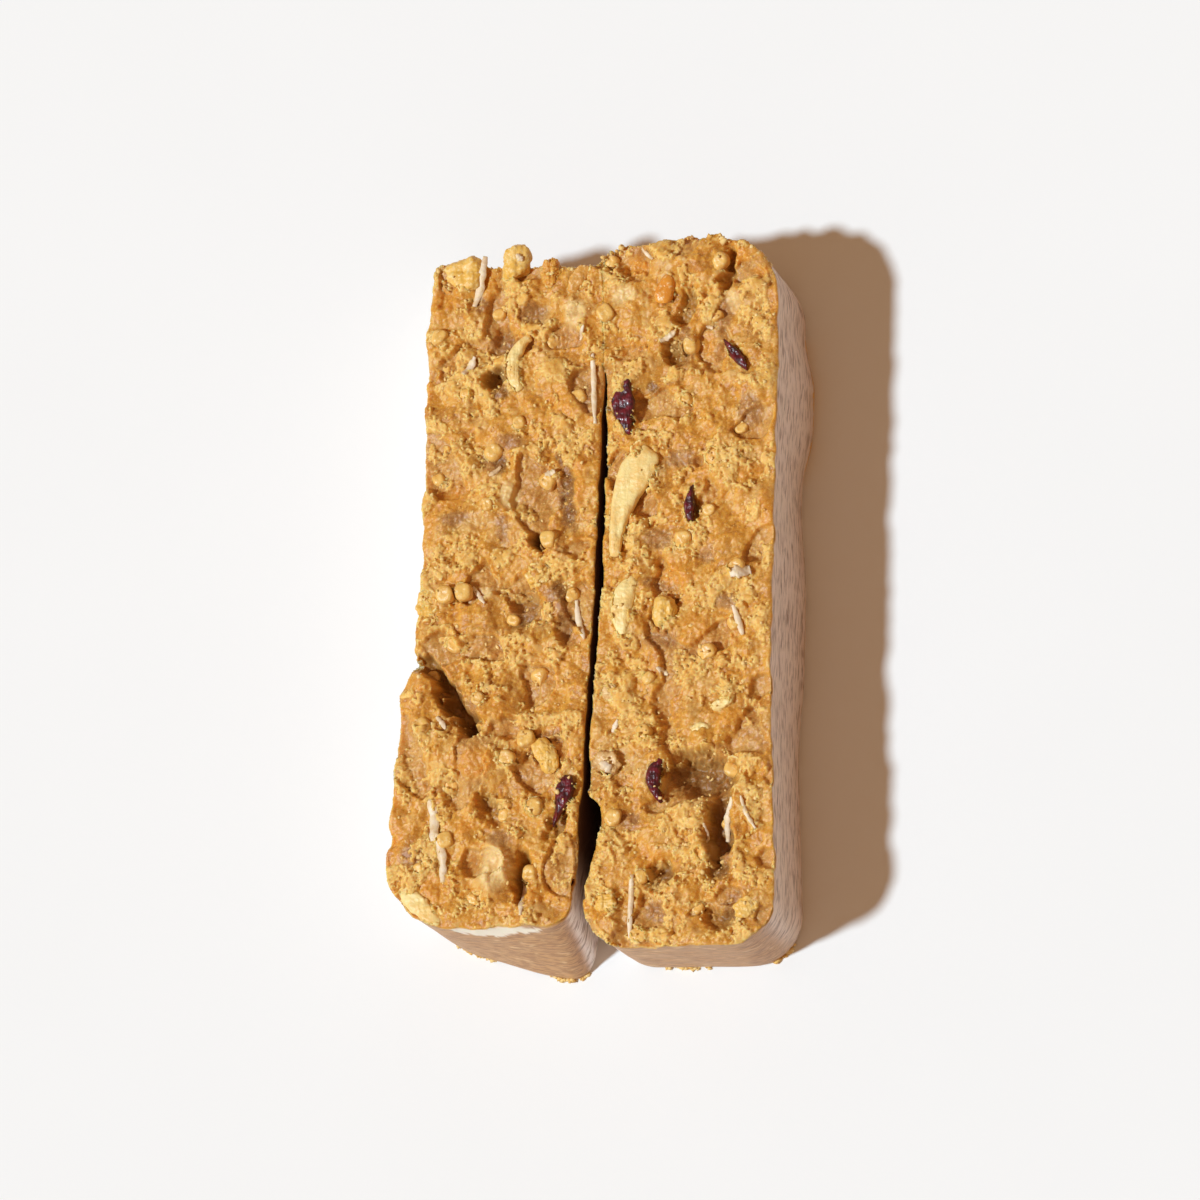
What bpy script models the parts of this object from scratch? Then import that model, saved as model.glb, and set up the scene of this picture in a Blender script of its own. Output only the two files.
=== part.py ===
"""A granola bar split lengthwise and folded back to back.

Two limbs stand side by side on the table with their torn crumb faces up. The
crumb joins them at the +Y end, and a narrow slit between their smooth skins
opens towards -Y. Nuts, grains and berries are fused to the crumb.

Plan sizes are in millimetres from the slit's line (x) and from the middle of
the limbs (y). The finished bar is moved so that its footprint is centred.
"""
import math
import random

import bmesh
import bpy
from mathutils import Euler, Matrix, Vector, geometry, noise

MM = 0.001
NOISE_GAIN = 1.6

# Heights
FACE_HEIGHT = 18.5
BASE_ROUND = 1.3
BASE_INSET = 0.55
SKIN_LEVELS = (0.84, 0.55, 0.28)

# Fineness of the mesh
OUTLINE_STEP = 1.8
FACE_STEP = 1.65
FACE_JITTER = 0.25
FACE_MARGIN = 0.62
FACE_SEED = 5
WELD_DISTANCE = 0.001

# Relief of the torn faces: swells of the crumb, crags on them, and hollows floored with paste
SWELL_SIZE = 3.6
SWELL_HEIGHT = 0.75
SWELL_LAYER = 1.7
CRAG_SIZE = 1.9
CRAG_HEIGHT = 0.55
CRAG_LAYER = 5.1
PASTE_SIZE = 5.2
PASTE_DEPTH = 1.1
PASTE_LAYER = 9.3
PASTE_FROM = 0.25
PASTE_FULL = 0.5

# A hollow or a swelling is level near its middle and has ended at its outer share
OVAL_LEVEL = 0.45
OVAL_END = 1.35

# The torn rim wanders about the skin below it
RIM_SIZE = 2.2
RIM_RAGGED = 0.22
RIM_LAYER = 14.6

# Round grains pressed into the crumb, spread by a rule over a field of the plan
GRAIN_COUNT = 46
GRAIN_RADIUS = (0.85, 1.15)
GRAIN_RISE = 0.25
GRAIN_GAP = 0.6
GRAIN_RIM_MARGIN = 1.3
GRAIN_FIELD_LOW = Vector((-26.0, -42.0))
GRAIN_FIELD_SIZE = Vector((48.0, 86.0))
GRAIN_STRIDE = Vector((0.7548777, 0.5698403))

# Unevenness of nuts and grains
LUMP_SEED = 11
LUMP_UNEVEN = (0.92, 1.06)
LUMP_TILT = 0.2

# Outline corners as x, y and corner radius, anticlockwise from the joined end
LEFT_SIDE = (
    (-20.4, 43.0, 1.6), (-21.5, 35.0, 4.0), (-21.9, 14.0, 12.0), (-22.4, 2.0, 12.0),
    (-23.1, -6.8, 1.4), (-24.9, -10.8, 2.4), (-25.4, -21.0, 12.0), (-27.2, -39.1, 8.0),
)
SLIT_LEFT_WALL = (
    (-4.0, -39.3, 3.0), (-2.7, -28.0, 8.0), (-2.0, -17.0, 10.0), (-1.2, -4.0, 15.0), (-0.3, 12.0, 15.0),
)
SLIT_HEAD = ((0.3, 30.6, 0.0),)
SLIT_RIGHT_WALL = (
    (0.75, 20.0, 10.0), (0.2, 2.0, 12.0), (-1.3, -16.5, 8.0), (-1.6, -23.6, 0.9), (0.2, -25.2, 0.9),
    (-0.1, -28.2, 1.5), (-2.0, -34.0, 3.0),
)
RIGHT_SIDE = (
    (-2.6, -42.0, 5.5), (21.3, -42.6, 6.2), (20.7, -12.0, 20.0), (21.2, 8.0, 20.0), (21.9, 28.0, 20.0),
    (22.1, 44.2, 7.5),
)
JOINED_END = ((9.0, 44.3, 2.0), (1.0, 43.7, 1.2), (-0.4, 41.8, 1.0), (-12.6, 41.9, 2.0))

# Bulges of the skin towards the base on the +X side: middle y, half length, reach
RIGHT_SKIN_X = 19.0
BULGES = ((26.0, 8.0, 1.2), (-2.0, 14.0, 0.8))
BULGE_LEVEL = 0.3
BULGE_END = 1.2
LEAN_POWER = 1.2

# The left limb's end leans out towards the base, most of all beside the slit
END_LEAN = Vector((-0.9, -4.2))
END_LEAN_FROM_X = -25.0
END_LEAN_FULL_X = -5.0
END_LEAN_FROM_Y = -30.0
END_LEAN_FULL_Y = -39.5
SLIT_MOUTH_X = -2.6
SLIT_MOUTH_Y = -36.0
SLIT_HALF_ZONE = 3.5

# Hollows in the face: x, y, half length, half width, turn in degrees, depth
PITS = (
    (-13.1, 28.9, 1.7, 1.5, 0, 5.5),
    (-12.5, 33.5, 2.2, 1.5, 60, 2.0),
    (-8.1, 35.7, 2.4, 1.6, 20, 1.6),
    (-7.7, 7.7, 1.2, 1.0, 0, 3.0),
    (-9.6, -0.5, 3.2, 2.0, 80, 1.7),
    (-4.3, -2.9, 2.2, 1.2, 75, 1.8),
    (-14.4, -23.8, 3.2, 2.0, 120, 3.0),
    (-9.7, -33.1, 3.2, 1.0, 85, 3.0),
    (-5.4, -26.6, 2.4, 1.0, 70, 2.6),
    (15.9, 40.3, 3.4, 1.1, 80, 3.0),
    (10.5, 35.9, 2.4, 1.1, 70, 2.2),
    (9.5, 30.4, 1.6, 1.5, 0, 2.4),
    (11.8, -21.6, 4.6, 2.7, 0, 4.6),
    (14.6, -29.0, 6.0, 1.7, 80, 4.4),
    (7.3, -33.7, 2.2, 1.4, 60, 2.0),
    (14.3, -39.0, 1.9, 1.3, 0, 2.4),
)

# Swellings of the crumb itself: x, y, half length, half width, turn in degrees, height
MOUNDS = (
    (-21.2, -13.4, 6.0, 3.0, 80, 0.9),
    (-13.6, -11.4, 3.6, 3.4, 0, 1.5),
    (9.6, -27.2, 4.2, 3.2, 30, 0.8),
    (9.0, 42.0, 3.2, 2.2, 0, 0.8),
)

# Cleft between the crumb and the slab that stands out on the left limb
CLEFT_ROUTE = ((-22.2, -6.6), (-20.0, -8.8), (-18.2, -11.6), (-16.0, -15.0))
CLEFT_FLOOR = 0.4
CLEFT_REACH = 1.95
CLEFT_DEPTH = 5.2

# Nuts and berries as x, y, rise of the centre, half length, half width, half height, turn in degrees
LUMPS = (
    (-16.8, 41.4, 0.0, 2.6, 2.0, 1.5, 5),
    (-10.5, 42.3, 0.1, 2.3, 1.9, 1.6, 80),
    (-6.0, 41.0, -0.2, 1.9, 1.2, 1.1, 90),
    (-2.6, 40.3, -0.1, 2.1, 1.3, 1.0, 70),
    (-3.1, 35.7, -0.3, 2.3, 1.7, 0.9, 100),
    (-10.7, 29.6, 0.0, 3.3, 1.0, 1.0, 95),
    (-4.0, 13.5, -0.4, 4.9, 1.2, 0.9, 98),
    (-22.0, 0.8, -0.6, 2.0, 1.5, 1.3, 90),
    (-15.0, -18.3, 0.4, 3.8, 3.5, 2.1, 30),
    (-6.8, -18.6, -0.2, 2.2, 1.3, 0.9, 120),
    (-4.8, -23.6, -0.2, 3.2, 1.2, 1.0, 95),
    (-12.9, -32.3, 0.0, 4.0, 2.2, 1.4, 85),
    (-22.2, -35.2, -0.4, 2.6, 1.7, 1.0, 130),
    (2.7, 36.0, 0.0, 2.7, 2.3, 1.5, 90),
    (13.1, 40.6, 0.0, 3.3, 1.8, 1.2, 100),
    (8.1, 37.9, 0.2, 1.9, 1.2, 1.0, 80),
    (17.3, 28.9, -0.1, 1.9, 1.0, 0.8, 120),
    (3.1, 24.1, -0.1, 3.6, 1.5, 1.1, 80),
    (4.2, 15.4, -0.1, 4.0, 1.8, 1.1, 62),
    (1.9, 9.0, -0.1, 4.4, 1.4, 1.0, 78),
    (11.1, 11.1, -0.1, 2.5, 0.9, 0.8, 85),
    (3.1, -1.1, 0.0, 3.3, 1.5, 1.1, 90),
    (7.9, -1.8, 0.0, 1.9, 1.6, 1.1, 90),
    (0.9, -19.9, -0.1, 1.7, 1.4, 1.1, 0),
    (7.2, -21.9, 0.3, 2.2, 1.2, 1.2, 100),
    (0.6, -36.8, 0.0, 1.4, 1.3, 1.0, 0),
    (-6.3, 7.7, 0.1, 1.1, 1.1, 1.1, 0),
    (-16.8, 1.7, 0.2, 1.1, 1.1, 1.1, 0),
    (-19.1, 1.5, 0.2, 1.1, 1.1, 1.1, 0),
    (-9.0, -16.6, 0.2, 1.1, 1.1, 1.1, 0),
    (-8.0, -24.9, 0.2, 1.1, 1.1, 1.1, 0),
)


def swell(x, y, size, layer):
    """Smooth noise of about -1 to 1 whose forms are size millimetres across."""
    return NOISE_GAIN * noise.noise(Vector((x / size, y / size, layer)))


def smooth_step(low, high, value):
    t = min(1.0, max(0.0, (value - low) / (high - low)))
    return t * t * (3.0 - 2.0 * t)


def oval_falloff(x, y, centre_x, centre_y, half_length, half_width, turn):
    """1 in the middle of a turned oval, falling to 0 a little outside its edge."""
    angle = math.radians(turn)
    along = (x - centre_x) * math.cos(angle) + (y - centre_y) * math.sin(angle)
    across = (y - centre_y) * math.cos(angle) - (x - centre_x) * math.sin(angle)
    distance = math.hypot(along / half_length, across / half_width)
    return 1.0 - smooth_step(OVAL_LEVEL, OVAL_END, distance)


def distance_to_route(x, y, route):
    point = Vector((x, y))
    best = math.inf
    for start, end in zip(route, route[1:]):
        start = Vector(start)
        span = Vector(end) - start
        along = min(1.0, max(0.0, (point - start).dot(span) / span.length_squared))
        best = min(best, (point - start - along * span).length)
    return best


def relief(x, y):
    """Height of the torn face above the table, in millimetres."""
    height = FACE_HEIGHT
    height += SWELL_HEIGHT * swell(x, y, SWELL_SIZE, SWELL_LAYER)
    height += CRAG_HEIGHT * swell(x, y, CRAG_SIZE, CRAG_LAYER)
    height -= PASTE_DEPTH * smooth_step(PASTE_FROM, PASTE_FULL, swell(x, y, PASTE_SIZE, PASTE_LAYER))
    for centre_x, centre_y, half_length, half_width, turn, depth in PITS:
        height -= depth * oval_falloff(x, y, centre_x, centre_y, half_length, half_width, turn)
    for centre_x, centre_y, half_length, half_width, turn, rise in MOUNDS:
        height += rise * oval_falloff(x, y, centre_x, centre_y, half_length, half_width, turn)
    to_cleft = distance_to_route(x, y, CLEFT_ROUTE)
    height -= CLEFT_DEPTH * (1.0 - smooth_step(CLEFT_FLOOR, CLEFT_REACH, to_cleft))
    return height


def rounded_corner(before, corner, after, radius):
    """Points of the arc that rounds one corner of an outline."""
    corner = Vector(corner)
    to_before = (Vector(before) - corner).normalized()
    to_after = (Vector(after) - corner).normalized()
    half_angle = 0.5 * to_before.angle(to_after)
    if radius == 0.0 or half_angle > math.radians(89.0):
        return [corner]
    setback = radius / math.tan(half_angle)
    centre = corner + (to_before + to_after).normalized() * (radius / math.sin(half_angle))
    first = corner + to_before * setback - centre
    last = corner + to_after * setback - centre
    sweep = first.angle_signed(last)
    steps = max(2, math.ceil(abs(sweep) * radius / (0.5 * OUTLINE_STEP)))
    arc = []
    for step in range(steps + 1):
        arc.append(centre + Matrix.Rotation(-sweep * step / steps, 2) @ first)
    return arc


def even_steps(points, step):
    """Walk along a line of points and return places an even step apart, both ends kept."""
    lengths = [0.0]
    for start, end in zip(points, points[1:]):
        lengths.append(lengths[-1] + (end - start).length)
    count = max(1, round(lengths[-1] / step))
    places = []
    segment = 0
    for index in range(count + 1):
        target = lengths[-1] * index / count
        while segment < len(points) - 2 and lengths[segment + 1] < target:
            segment += 1
        span = lengths[segment + 1] - lengths[segment]
        share = (target - lengths[segment]) / span if span > 0.0 else 0.0
        places.append(points[segment].lerp(points[segment + 1], share))
    return places


def bar_outline():
    """Evenly spaced points round both limbs and the slit, starting at the slit's head."""
    corners = SLIT_HEAD + SLIT_RIGHT_WALL + RIGHT_SIDE + JOINED_END + LEFT_SIDE + SLIT_LEFT_WALL
    path = []
    for index, (x, y, radius) in enumerate(corners):
        before = corners[index - 1][:2]
        after = corners[(index + 1) % len(corners)][:2]
        path.extend(rounded_corner(before, (x, y), after, radius))
    path.append(path[0].copy())
    return even_steps(path, OUTLINE_STEP)[:-1]


def outward_normals(outline):
    normals = []
    for index, point in enumerate(outline):
        along = outline[(index + 1) % len(outline)] - outline[index - 1]
        if along.length < 0.5 * OUTLINE_STEP:
            along = Vector((1.0, 0.0))
        normals.append(Vector((along.y, -along.x)).normalized())
    return normals


def ragged_rim(outline, normals):
    """The torn rim wanders a little inside and outside the skin below it, but not along the slit."""
    rim = []
    for point, normal in zip(outline, normals):
        in_slit = abs(point.x) < SLIT_HALF_ZONE and SLIT_MOUTH_Y < point.y < SLIT_HEAD[0][1] + OUTLINE_STEP
        wander = 0.0 if in_slit else RIM_RAGGED * swell(point.x, point.y, RIM_SIZE, RIM_LAYER)
        rim.append(point + normal * wander)
    return rim


def is_inside(point, outline):
    inside = False
    for index, corner in enumerate(outline):
        previous = outline[index - 1]
        if (corner.y > point.y) != (previous.y > point.y):
            crossing = corner.x + (point.y - corner.y) * (previous.x - corner.x) / (previous.y - corner.y)
            if point.x < crossing:
                inside = not inside
    return inside


def clearance(point, outline):
    return min((point - corner).length for corner in outline)


def plan_box(points):
    low = Vector((min(point.x for point in points), min(point.y for point in points)))
    high = Vector((max(point.x for point in points), max(point.y for point in points)))
    return low, high


def face_points(outline):
    """Jittered points over the torn face, clear of its outline."""
    draw = random.Random(FACE_SEED)
    low, high = plan_box(outline)
    row_step = FACE_STEP * math.sqrt(0.75)
    points = []
    for row in range(math.ceil((high.y - low.y) / row_step)):
        for column in range(math.ceil((high.x - low.x) / FACE_STEP) + 1):
            across = column - 0.5 * (row % 2) + draw.uniform(-FACE_JITTER, FACE_JITTER)
            jitter = draw.uniform(-FACE_JITTER, FACE_JITTER) * FACE_STEP
            point = low + Vector((across * FACE_STEP, row * row_step + jitter))
            if is_inside(point, outline) and clearance(point, outline) > FACE_MARGIN * FACE_STEP:
                points.append(point)
    return points


def skin_lean(x, y, level):
    """How far the skin leans out of the face outline, level being 1 at the face and 0 at the table."""
    lean = Vector((0.0, 0.0))
    if x > RIGHT_SKIN_X:
        for middle_y, half_length, reach in BULGES:
            lean.x += reach * (1.0 - smooth_step(BULGE_LEVEL, BULGE_END, abs(y - middle_y) / half_length))
    if x < SLIT_MOUTH_X:
        share_x = smooth_step(END_LEAN_FROM_X, END_LEAN_FULL_X, x)
        share_y = smooth_step(-END_LEAN_FROM_Y, -END_LEAN_FULL_Y, -y)
        lean += END_LEAN * share_x * share_y
    return lean * (1.0 - level) ** LEAN_POWER


def build_body():
    """Loft the skin down from the torn face and close it with the flat base."""
    outline = bar_outline()
    normals = outward_normals(outline)
    rim = ragged_rim(outline, normals)
    inner = face_points(rim)
    loop = list(range(len(rim)))
    flat = geometry.delaunay_2d_cdt(rim + inner, [], [loop], 1, 1e-4)
    mesh = bmesh.new()
    face_verts = [mesh.verts.new((p.x, p.y, relief(p.x, p.y))) for p in flat[0]]
    for triangle in flat[2]:
        mesh.faces.new([face_verts[index] for index in triangle])
    ring = face_verts[:len(rim)]
    heights = [FACE_HEIGHT * level for level in SKIN_LEVELS] + [BASE_ROUND, 0.0]
    for height in heights:
        inset = BASE_INSET if height == 0.0 else 0.0
        lower = []
        for point, normal in zip(outline, normals):
            place = point + skin_lean(point.x, point.y, height / FACE_HEIGHT) - inset * normal
            lower.append(mesh.verts.new((place.x, place.y, height)))
        for index in range(len(ring)):
            after = (index + 1) % len(ring)
            mesh.faces.new((ring[index], lower[index], lower[after], ring[after]))
        ring = lower
    mesh.faces.new(ring[::-1])
    bmesh.ops.triangulate(mesh, faces=mesh.faces[:])
    bmesh.ops.recalc_face_normals(mesh, faces=mesh.faces[:])
    return mesh


def new_object(name, mesh, collection):
    data = bpy.data.meshes.new(name)
    mesh.to_mesh(data)
    mesh.free()
    item = bpy.data.objects.new(name, data)
    collection.objects.link(item)
    return item


def add_lump(collection, place, half_sizes, turn, fineness, draw):
    """One nut, berry or grain: a faceted ball, stretched, turned and made uneven."""
    mesh = bmesh.new()
    bmesh.ops.create_icosphere(mesh, subdivisions=fineness, radius=1.0)
    for vert in mesh.verts:
        vert.co *= draw.uniform(*LUMP_UNEVEN)
        vert.co = Vector(half_sizes) * vert.co
    tilt_x = draw.uniform(-LUMP_TILT, LUMP_TILT)
    tilt_y = draw.uniform(-LUMP_TILT, LUMP_TILT)
    turned = Euler((tilt_x, tilt_y, math.radians(turn)))
    bmesh.ops.rotate(mesh, verts=mesh.verts[:], matrix=turned.to_matrix())
    bmesh.ops.translate(mesh, verts=mesh.verts[:], vec=place)
    new_object("lump", mesh, collection)


def grain_places(outline):
    """Middle and radius of each round grain, evenly spread, clear of the rim and of the named lumps."""
    grains = []
    step = 0
    while len(grains) < GRAIN_COUNT:
        step += 1
        share = Vector((step * GRAIN_STRIDE.x % 1.0, step * GRAIN_STRIDE.y % 1.0))
        spot = GRAIN_FIELD_LOW + share * GRAIN_FIELD_SIZE
        radius = GRAIN_RADIUS[step % 2]
        in_lump = any((spot - Vector(lump[:2])).length < radius + lump[3] + GRAIN_GAP for lump in LUMPS)
        clear_of_rim = is_inside(spot, outline) and clearance(spot, outline) > GRAIN_RIM_MARGIN * radius
        if clear_of_rim and not in_lump:
            grains.append((spot, radius))
    return grains


def add_lumps(collection):
    draw = random.Random(LUMP_SEED)
    for x, y, rise, half_length, half_width, half_height, turn in LUMPS:
        place = Vector((x, y, FACE_HEIGHT + rise))
        add_lump(collection, place, (half_length, half_width, half_height), turn, 2, draw)
    for spot, radius in grain_places(bar_outline()):
        place = Vector((spot.x, spot.y, relief(spot.x, spot.y) + GRAIN_RISE * radius))
        add_lump(collection, place, (radius, radius, radius), 0.0, 1, draw)


def fuse(body, lumps):
    """Join every lump to the body with one union, then drop the lumps."""
    union = body.modifiers.new("fuse the lumps", "BOOLEAN")
    union.operation = "UNION"
    union.operand_type = "COLLECTION"
    union.collection = lumps
    union.solver = "EXACT"
    bpy.context.view_layer.update()
    evaluated = body.evaluated_get(bpy.context.evaluated_depsgraph_get())
    fused = bpy.data.meshes.new_from_object(evaluated)
    body.modifiers.clear()
    body.data = fused
    for lump in list(lumps.objects):
        bpy.data.objects.remove(lump)
    bpy.data.collections.remove(lumps)


def centre_on_footprint(body):
    """Scale millimetres to metres and put the middle of the footprint at the origin."""
    low = Vector([min(vert.co[axis] for vert in body.data.vertices) for axis in range(3)])
    high = Vector([max(vert.co[axis] for vert in body.data.vertices) for axis in range(3)])
    middle = Vector(((low.x + high.x) / 2.0, (low.y + high.y) / 2.0, low.z))
    body.data.transform(Matrix.Scale(MM, 4) @ Matrix.Translation(-middle))


def tidy_mesh(body):
    """Weld what the union left too close together, and triangulate."""
    mesh = bmesh.new()
    mesh.from_mesh(body.data)
    bmesh.ops.remove_doubles(mesh, verts=mesh.verts[:], dist=WELD_DISTANCE)
    bmesh.ops.dissolve_degenerate(mesh, edges=mesh.edges[:], dist=WELD_DISTANCE)
    bmesh.ops.triangulate(mesh, faces=mesh.faces[:])
    mesh.to_mesh(body.data)
    mesh.free()


def crumb_material():
    """Golden oat and nut crumb bound with syrup."""
    material = bpy.data.materials.new("golden crumb")
    material.use_nodes = True
    shader = material.node_tree.nodes["Principled BSDF"]
    shader.inputs["Base Color"].default_value = (0.62, 0.29, 0.063, 1.0)
    shader.inputs["Roughness"].default_value = 0.7
    shader.inputs["Metallic"].default_value = 0.0
    return material


def main():
    for item in list(bpy.data.objects):
        bpy.data.objects.remove(item)
    bar = bpy.data.collections.new("granola bar")
    lumps = bpy.data.collections.new("nuts grains and berries")
    bpy.context.scene.collection.children.link(bar)
    bpy.context.scene.collection.children.link(lumps)
    body = new_object("granola_bar", build_body(), bar)
    add_lumps(lumps)
    fuse(body, lumps)
    tidy_mesh(body)
    centre_on_footprint(body)
    body.data.materials.clear()
    body.data.materials.append(crumb_material())


main()
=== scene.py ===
"""Looks of a granola bar that was split lengthwise and folded back to back.

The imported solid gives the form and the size. It is replaced here by torn crumb,
a pressed skin, nuts, round grains, dried berries and coconut, each a mesh of its
own at true size. Plan sizes are in millimetres from the slit's line (x) and the
middle of the limbs (y), as they are on the solid, unless a name says otherwise.
"""

import functools
import math
import random

import bmesh
import bpy
import numpy as np
from bpy.props import FloatProperty, FloatVectorProperty, IntProperty, PointerProperty
from mathutils import Euler, Matrix, Vector, noise


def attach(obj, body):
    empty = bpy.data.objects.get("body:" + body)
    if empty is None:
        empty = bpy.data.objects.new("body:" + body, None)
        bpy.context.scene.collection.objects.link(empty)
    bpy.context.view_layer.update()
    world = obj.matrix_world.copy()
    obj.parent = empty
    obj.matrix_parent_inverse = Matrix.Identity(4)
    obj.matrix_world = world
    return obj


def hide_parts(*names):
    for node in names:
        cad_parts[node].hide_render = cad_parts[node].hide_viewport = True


bl_info = {
    "name": "Granola bar looks",
    "version": (1, 0, 0),
    "blender": (4, 5, 0),
    "location": "View3D > Sidebar > Granola bar",
    "description": "Torn crumb, pressed skin, nuts, grains and berries of a granola bar",
    "category": "Object",
}

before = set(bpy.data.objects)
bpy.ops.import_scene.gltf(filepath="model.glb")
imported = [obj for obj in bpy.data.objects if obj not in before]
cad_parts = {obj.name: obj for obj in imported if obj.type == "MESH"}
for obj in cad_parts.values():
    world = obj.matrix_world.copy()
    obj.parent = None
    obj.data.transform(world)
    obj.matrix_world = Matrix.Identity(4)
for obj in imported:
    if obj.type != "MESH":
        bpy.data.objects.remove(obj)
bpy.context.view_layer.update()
BODY = "root"
NODE = "granola_bar"

MM = 0.001
TINY = 1e-9
# More than the points of any mesh here, so that the two ends of an edge make one number
EDGE_KEY = 10_000_000
# How far red, green and blue light soak in, as shares of a finish's depth of glow
GLOW_RGB = (1.0, 0.72, 0.42)
# Noise: strength of Blender's own, and factors that scatter the lattice places of the other, whose
# forms also take a seed, a whole number of no meaning
NOISE_GAIN = 1.6
SCATTER_X, SCATTER_Y, SCATTER_SEED = 374761393, 668265263, 1442695041
SCATTER_ROUNDS = ((15, 2246822519), (13, 3266489917))
WORD, SHARE_BITS = 0xFFFFFFFF, 0xFFFFFF

# Where the plan's zero lies from the middle of the footprint
PLAN_MIDDLE = Vector((-1.736, 0.726))

# Heights, as on the solid
FACE_HEIGHT = 18.5
BASE_ROUND = 1.3
BASE_INSET = 0.55

# Outline corners as x, y and corner radius, anticlockwise from the joined end
LEFT_SIDE = (
    (-20.4, 43.0, 1.6), (-21.5, 35.0, 4.0), (-21.9, 14.0, 12.0), (-22.4, 2.0, 12.0),
    (-23.1, -6.8, 1.4), (-24.9, -10.8, 2.4), (-25.4, -21.0, 12.0), (-27.2, -39.1, 8.0),
)
SLIT_LEFT_WALL = (
    (-4.0, -39.3, 3.0), (-2.7, -28.0, 8.0), (-2.0, -17.0, 10.0), (-1.2, -4.0, 15.0), (-0.3, 12.0, 15.0),
)
SLIT_HEAD = ((0.3, 30.6, 0.0),)
SLIT_RIGHT_WALL = (
    (0.75, 20.0, 10.0), (0.2, 2.0, 12.0), (-1.3, -16.5, 8.0), (-1.6, -23.6, 0.9), (0.2, -25.2, 0.9),
    (-0.1, -28.2, 1.5), (-2.0, -34.0, 3.0),
)
RIGHT_SIDE = (
    (-2.6, -42.0, 5.5), (21.3, -42.6, 6.2), (20.7, -12.0, 20.0), (21.2, 8.0, 20.0), (21.9, 28.0, 20.0),
    (22.1, 44.2, 7.5),
)
JOINED_END = ((9.0, 44.3, 2.0), (1.0, 43.7, 1.2), (-0.4, 41.8, 1.0), (-12.6, 41.9, 2.0))
OUTLINE_STEP = 0.35
ARC_STEP = 0.2

# The line on which the two halves part, from the joined end to the slit's mouth
PARTING_Y = (-45.0, -39.0, -28.0, -17.0, -4.0, 12.0, 30.6)
PARTING_X = (-3.6, -3.2, -1.9, -1.75, -0.7, 0.05, 0.3)

# Relief of the torn faces: the solid's forms, some of them lower here, since the crumbs add to it
SWELL_SIZE = 3.6
SWELL_HEIGHT = 0.6
SWELL_LAYER = 1.7
CRAG_SIZE = 1.9
CRAG_HEIGHT = 0.38
CRAG_LAYER = 5.1
PASTE_SIZE = 5.2
PASTE_DEPTH = 0.9
PASTE_LAYER = 9.3
PASTE_EDGE = 0.375

# Torn flakes of dry crumb lie on the softer crumb that the syrup soaked
FLAKE_SIZE = 2.8
FLAKE_EDGE = 0.07
SECOND_FLAKE_EDGE = 0.34
# Crumb creeps up a lump from this share of its radius, and its collar fades out further off
COVER_FROM = 0.94
COVER_PULL = 0.8
COLLAR_END = 1.6
COLLAR_FROM = 1.05
EDGE_SOFT = 0.07
# What decides where a flake lies: noise, finest crumbs, crumbs, paste and a constant
FLAKE_NOISE, FLAKE_GRIT, FLAKE_CRUMB, FLAKE_PASTE, FLAKE_OFFSET = 0.8, 0.16, 0.22, 0.2, 0.06
# How far the noise bends hollows and patches
PIT_BEND = 0.8
PATCH_BEND = 0.5
STRIP_STATIONS = 17
RIM_SIZE = 2.2
RIM_RAGGED = 0.22
RIM_LAYER = 14.6
# The rim is calmer along the right skin and more ragged at the joined end
CALM_RIM_X, CALM_RIM = (17.0, 19.0), 0.65
TORN_RIM_Y, TORN_RIM = (40.5, 42.0), 1.4
# How the face sinks towards its rim: share and reach of the levelling, depth and reach of the rounding
RIM_LEVEL, RIM_LEVEL_REACH, RIM_LEVEL_BELOW = 0.55, 0.9, 1.2
RIM_ROUND, RIM_ROUND_REACH = 0.25, 0.2

# Crumb inside the skin: its floor, the gap to the skin and how far the skirt's first two rings hang down
SLAB_FLOOR = 10.0
SKIRT_GAP = 0.12
SKIRT_DROPS = (0.7, 2.2)

# Hollows in the face: x, y, half length, half width, turn in degrees, depth
PITS = (
    (-13.1, 28.0, 1.6, 1.0, 25, 3.6), (-4.3, 13.2, 4.4, 1.1, 96, 0.9), (-12.4, 32.8, 1.9, 1.2, 60, 1.5),
    (-8.1, 35.7, 2.2, 1.3, 20, 1.2), (-7.7, 7.7, 1.2, 1.0, 0, 3.0), (-9.6, -0.5, 3.2, 2.0, 80, 1.7),
    (-4.3, -2.9, 2.2, 1.2, 75, 1.8), (-14.0, -24.2, 2.6, 1.5, 120, 2.2), (-9.7, -33.1, 3.2, 1.0, 85, 3.0),
    (-5.4, -26.6, 2.4, 1.0, 70, 2.6), (15.7, 40.3, 3.2, 0.7, 80, 2.0), (10.5, 35.9, 2.4, 1.1, 70, 2.2),
    (9.5, 30.4, 1.6, 1.5, 0, 2.4), (12.0, -21.6, 4.4, 2.5, 0, 3.8), (14.3, -28.6, 5.6, 1.5, 85, 3.6),
    (7.3, -33.7, 2.2, 1.4, 60, 2.0), (14.3, -39.0, 1.9, 1.3, 0, 2.4),
)

# Share of the hollows' depths that the crumb has
PIT_SHARE = 0.8

# Swellings of the crumb itself: x, y, half length, half width, turn in degrees, height
MOUNDS = (
    (-21.2, -13.4, 6.0, 3.0, 80, 0.9), (-13.6, -11.4, 3.6, 3.4, 0, 1.5), (-15.6, -18.8, 4.3, 3.6, 20, 1.9),
    (-16.9, 41.6, 2.4, 2.6, 0, 0.9), (3.0, 36.6, 3.0, 3.0, 0, 0.7), (13.3, 41.2, 2.2, 3.2, 0, 0.8),
    (9.6, -27.2, 4.2, 3.2, 30, 0.8), (-3.1, 35.7, 2.3, 1.7, 100, 0.6), (-12.8, -32.4, 3.7, 2.1, 85, 1.7),
    (9.0, 42.0, 3.2, 2.2, 0, 0.8),
)

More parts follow.
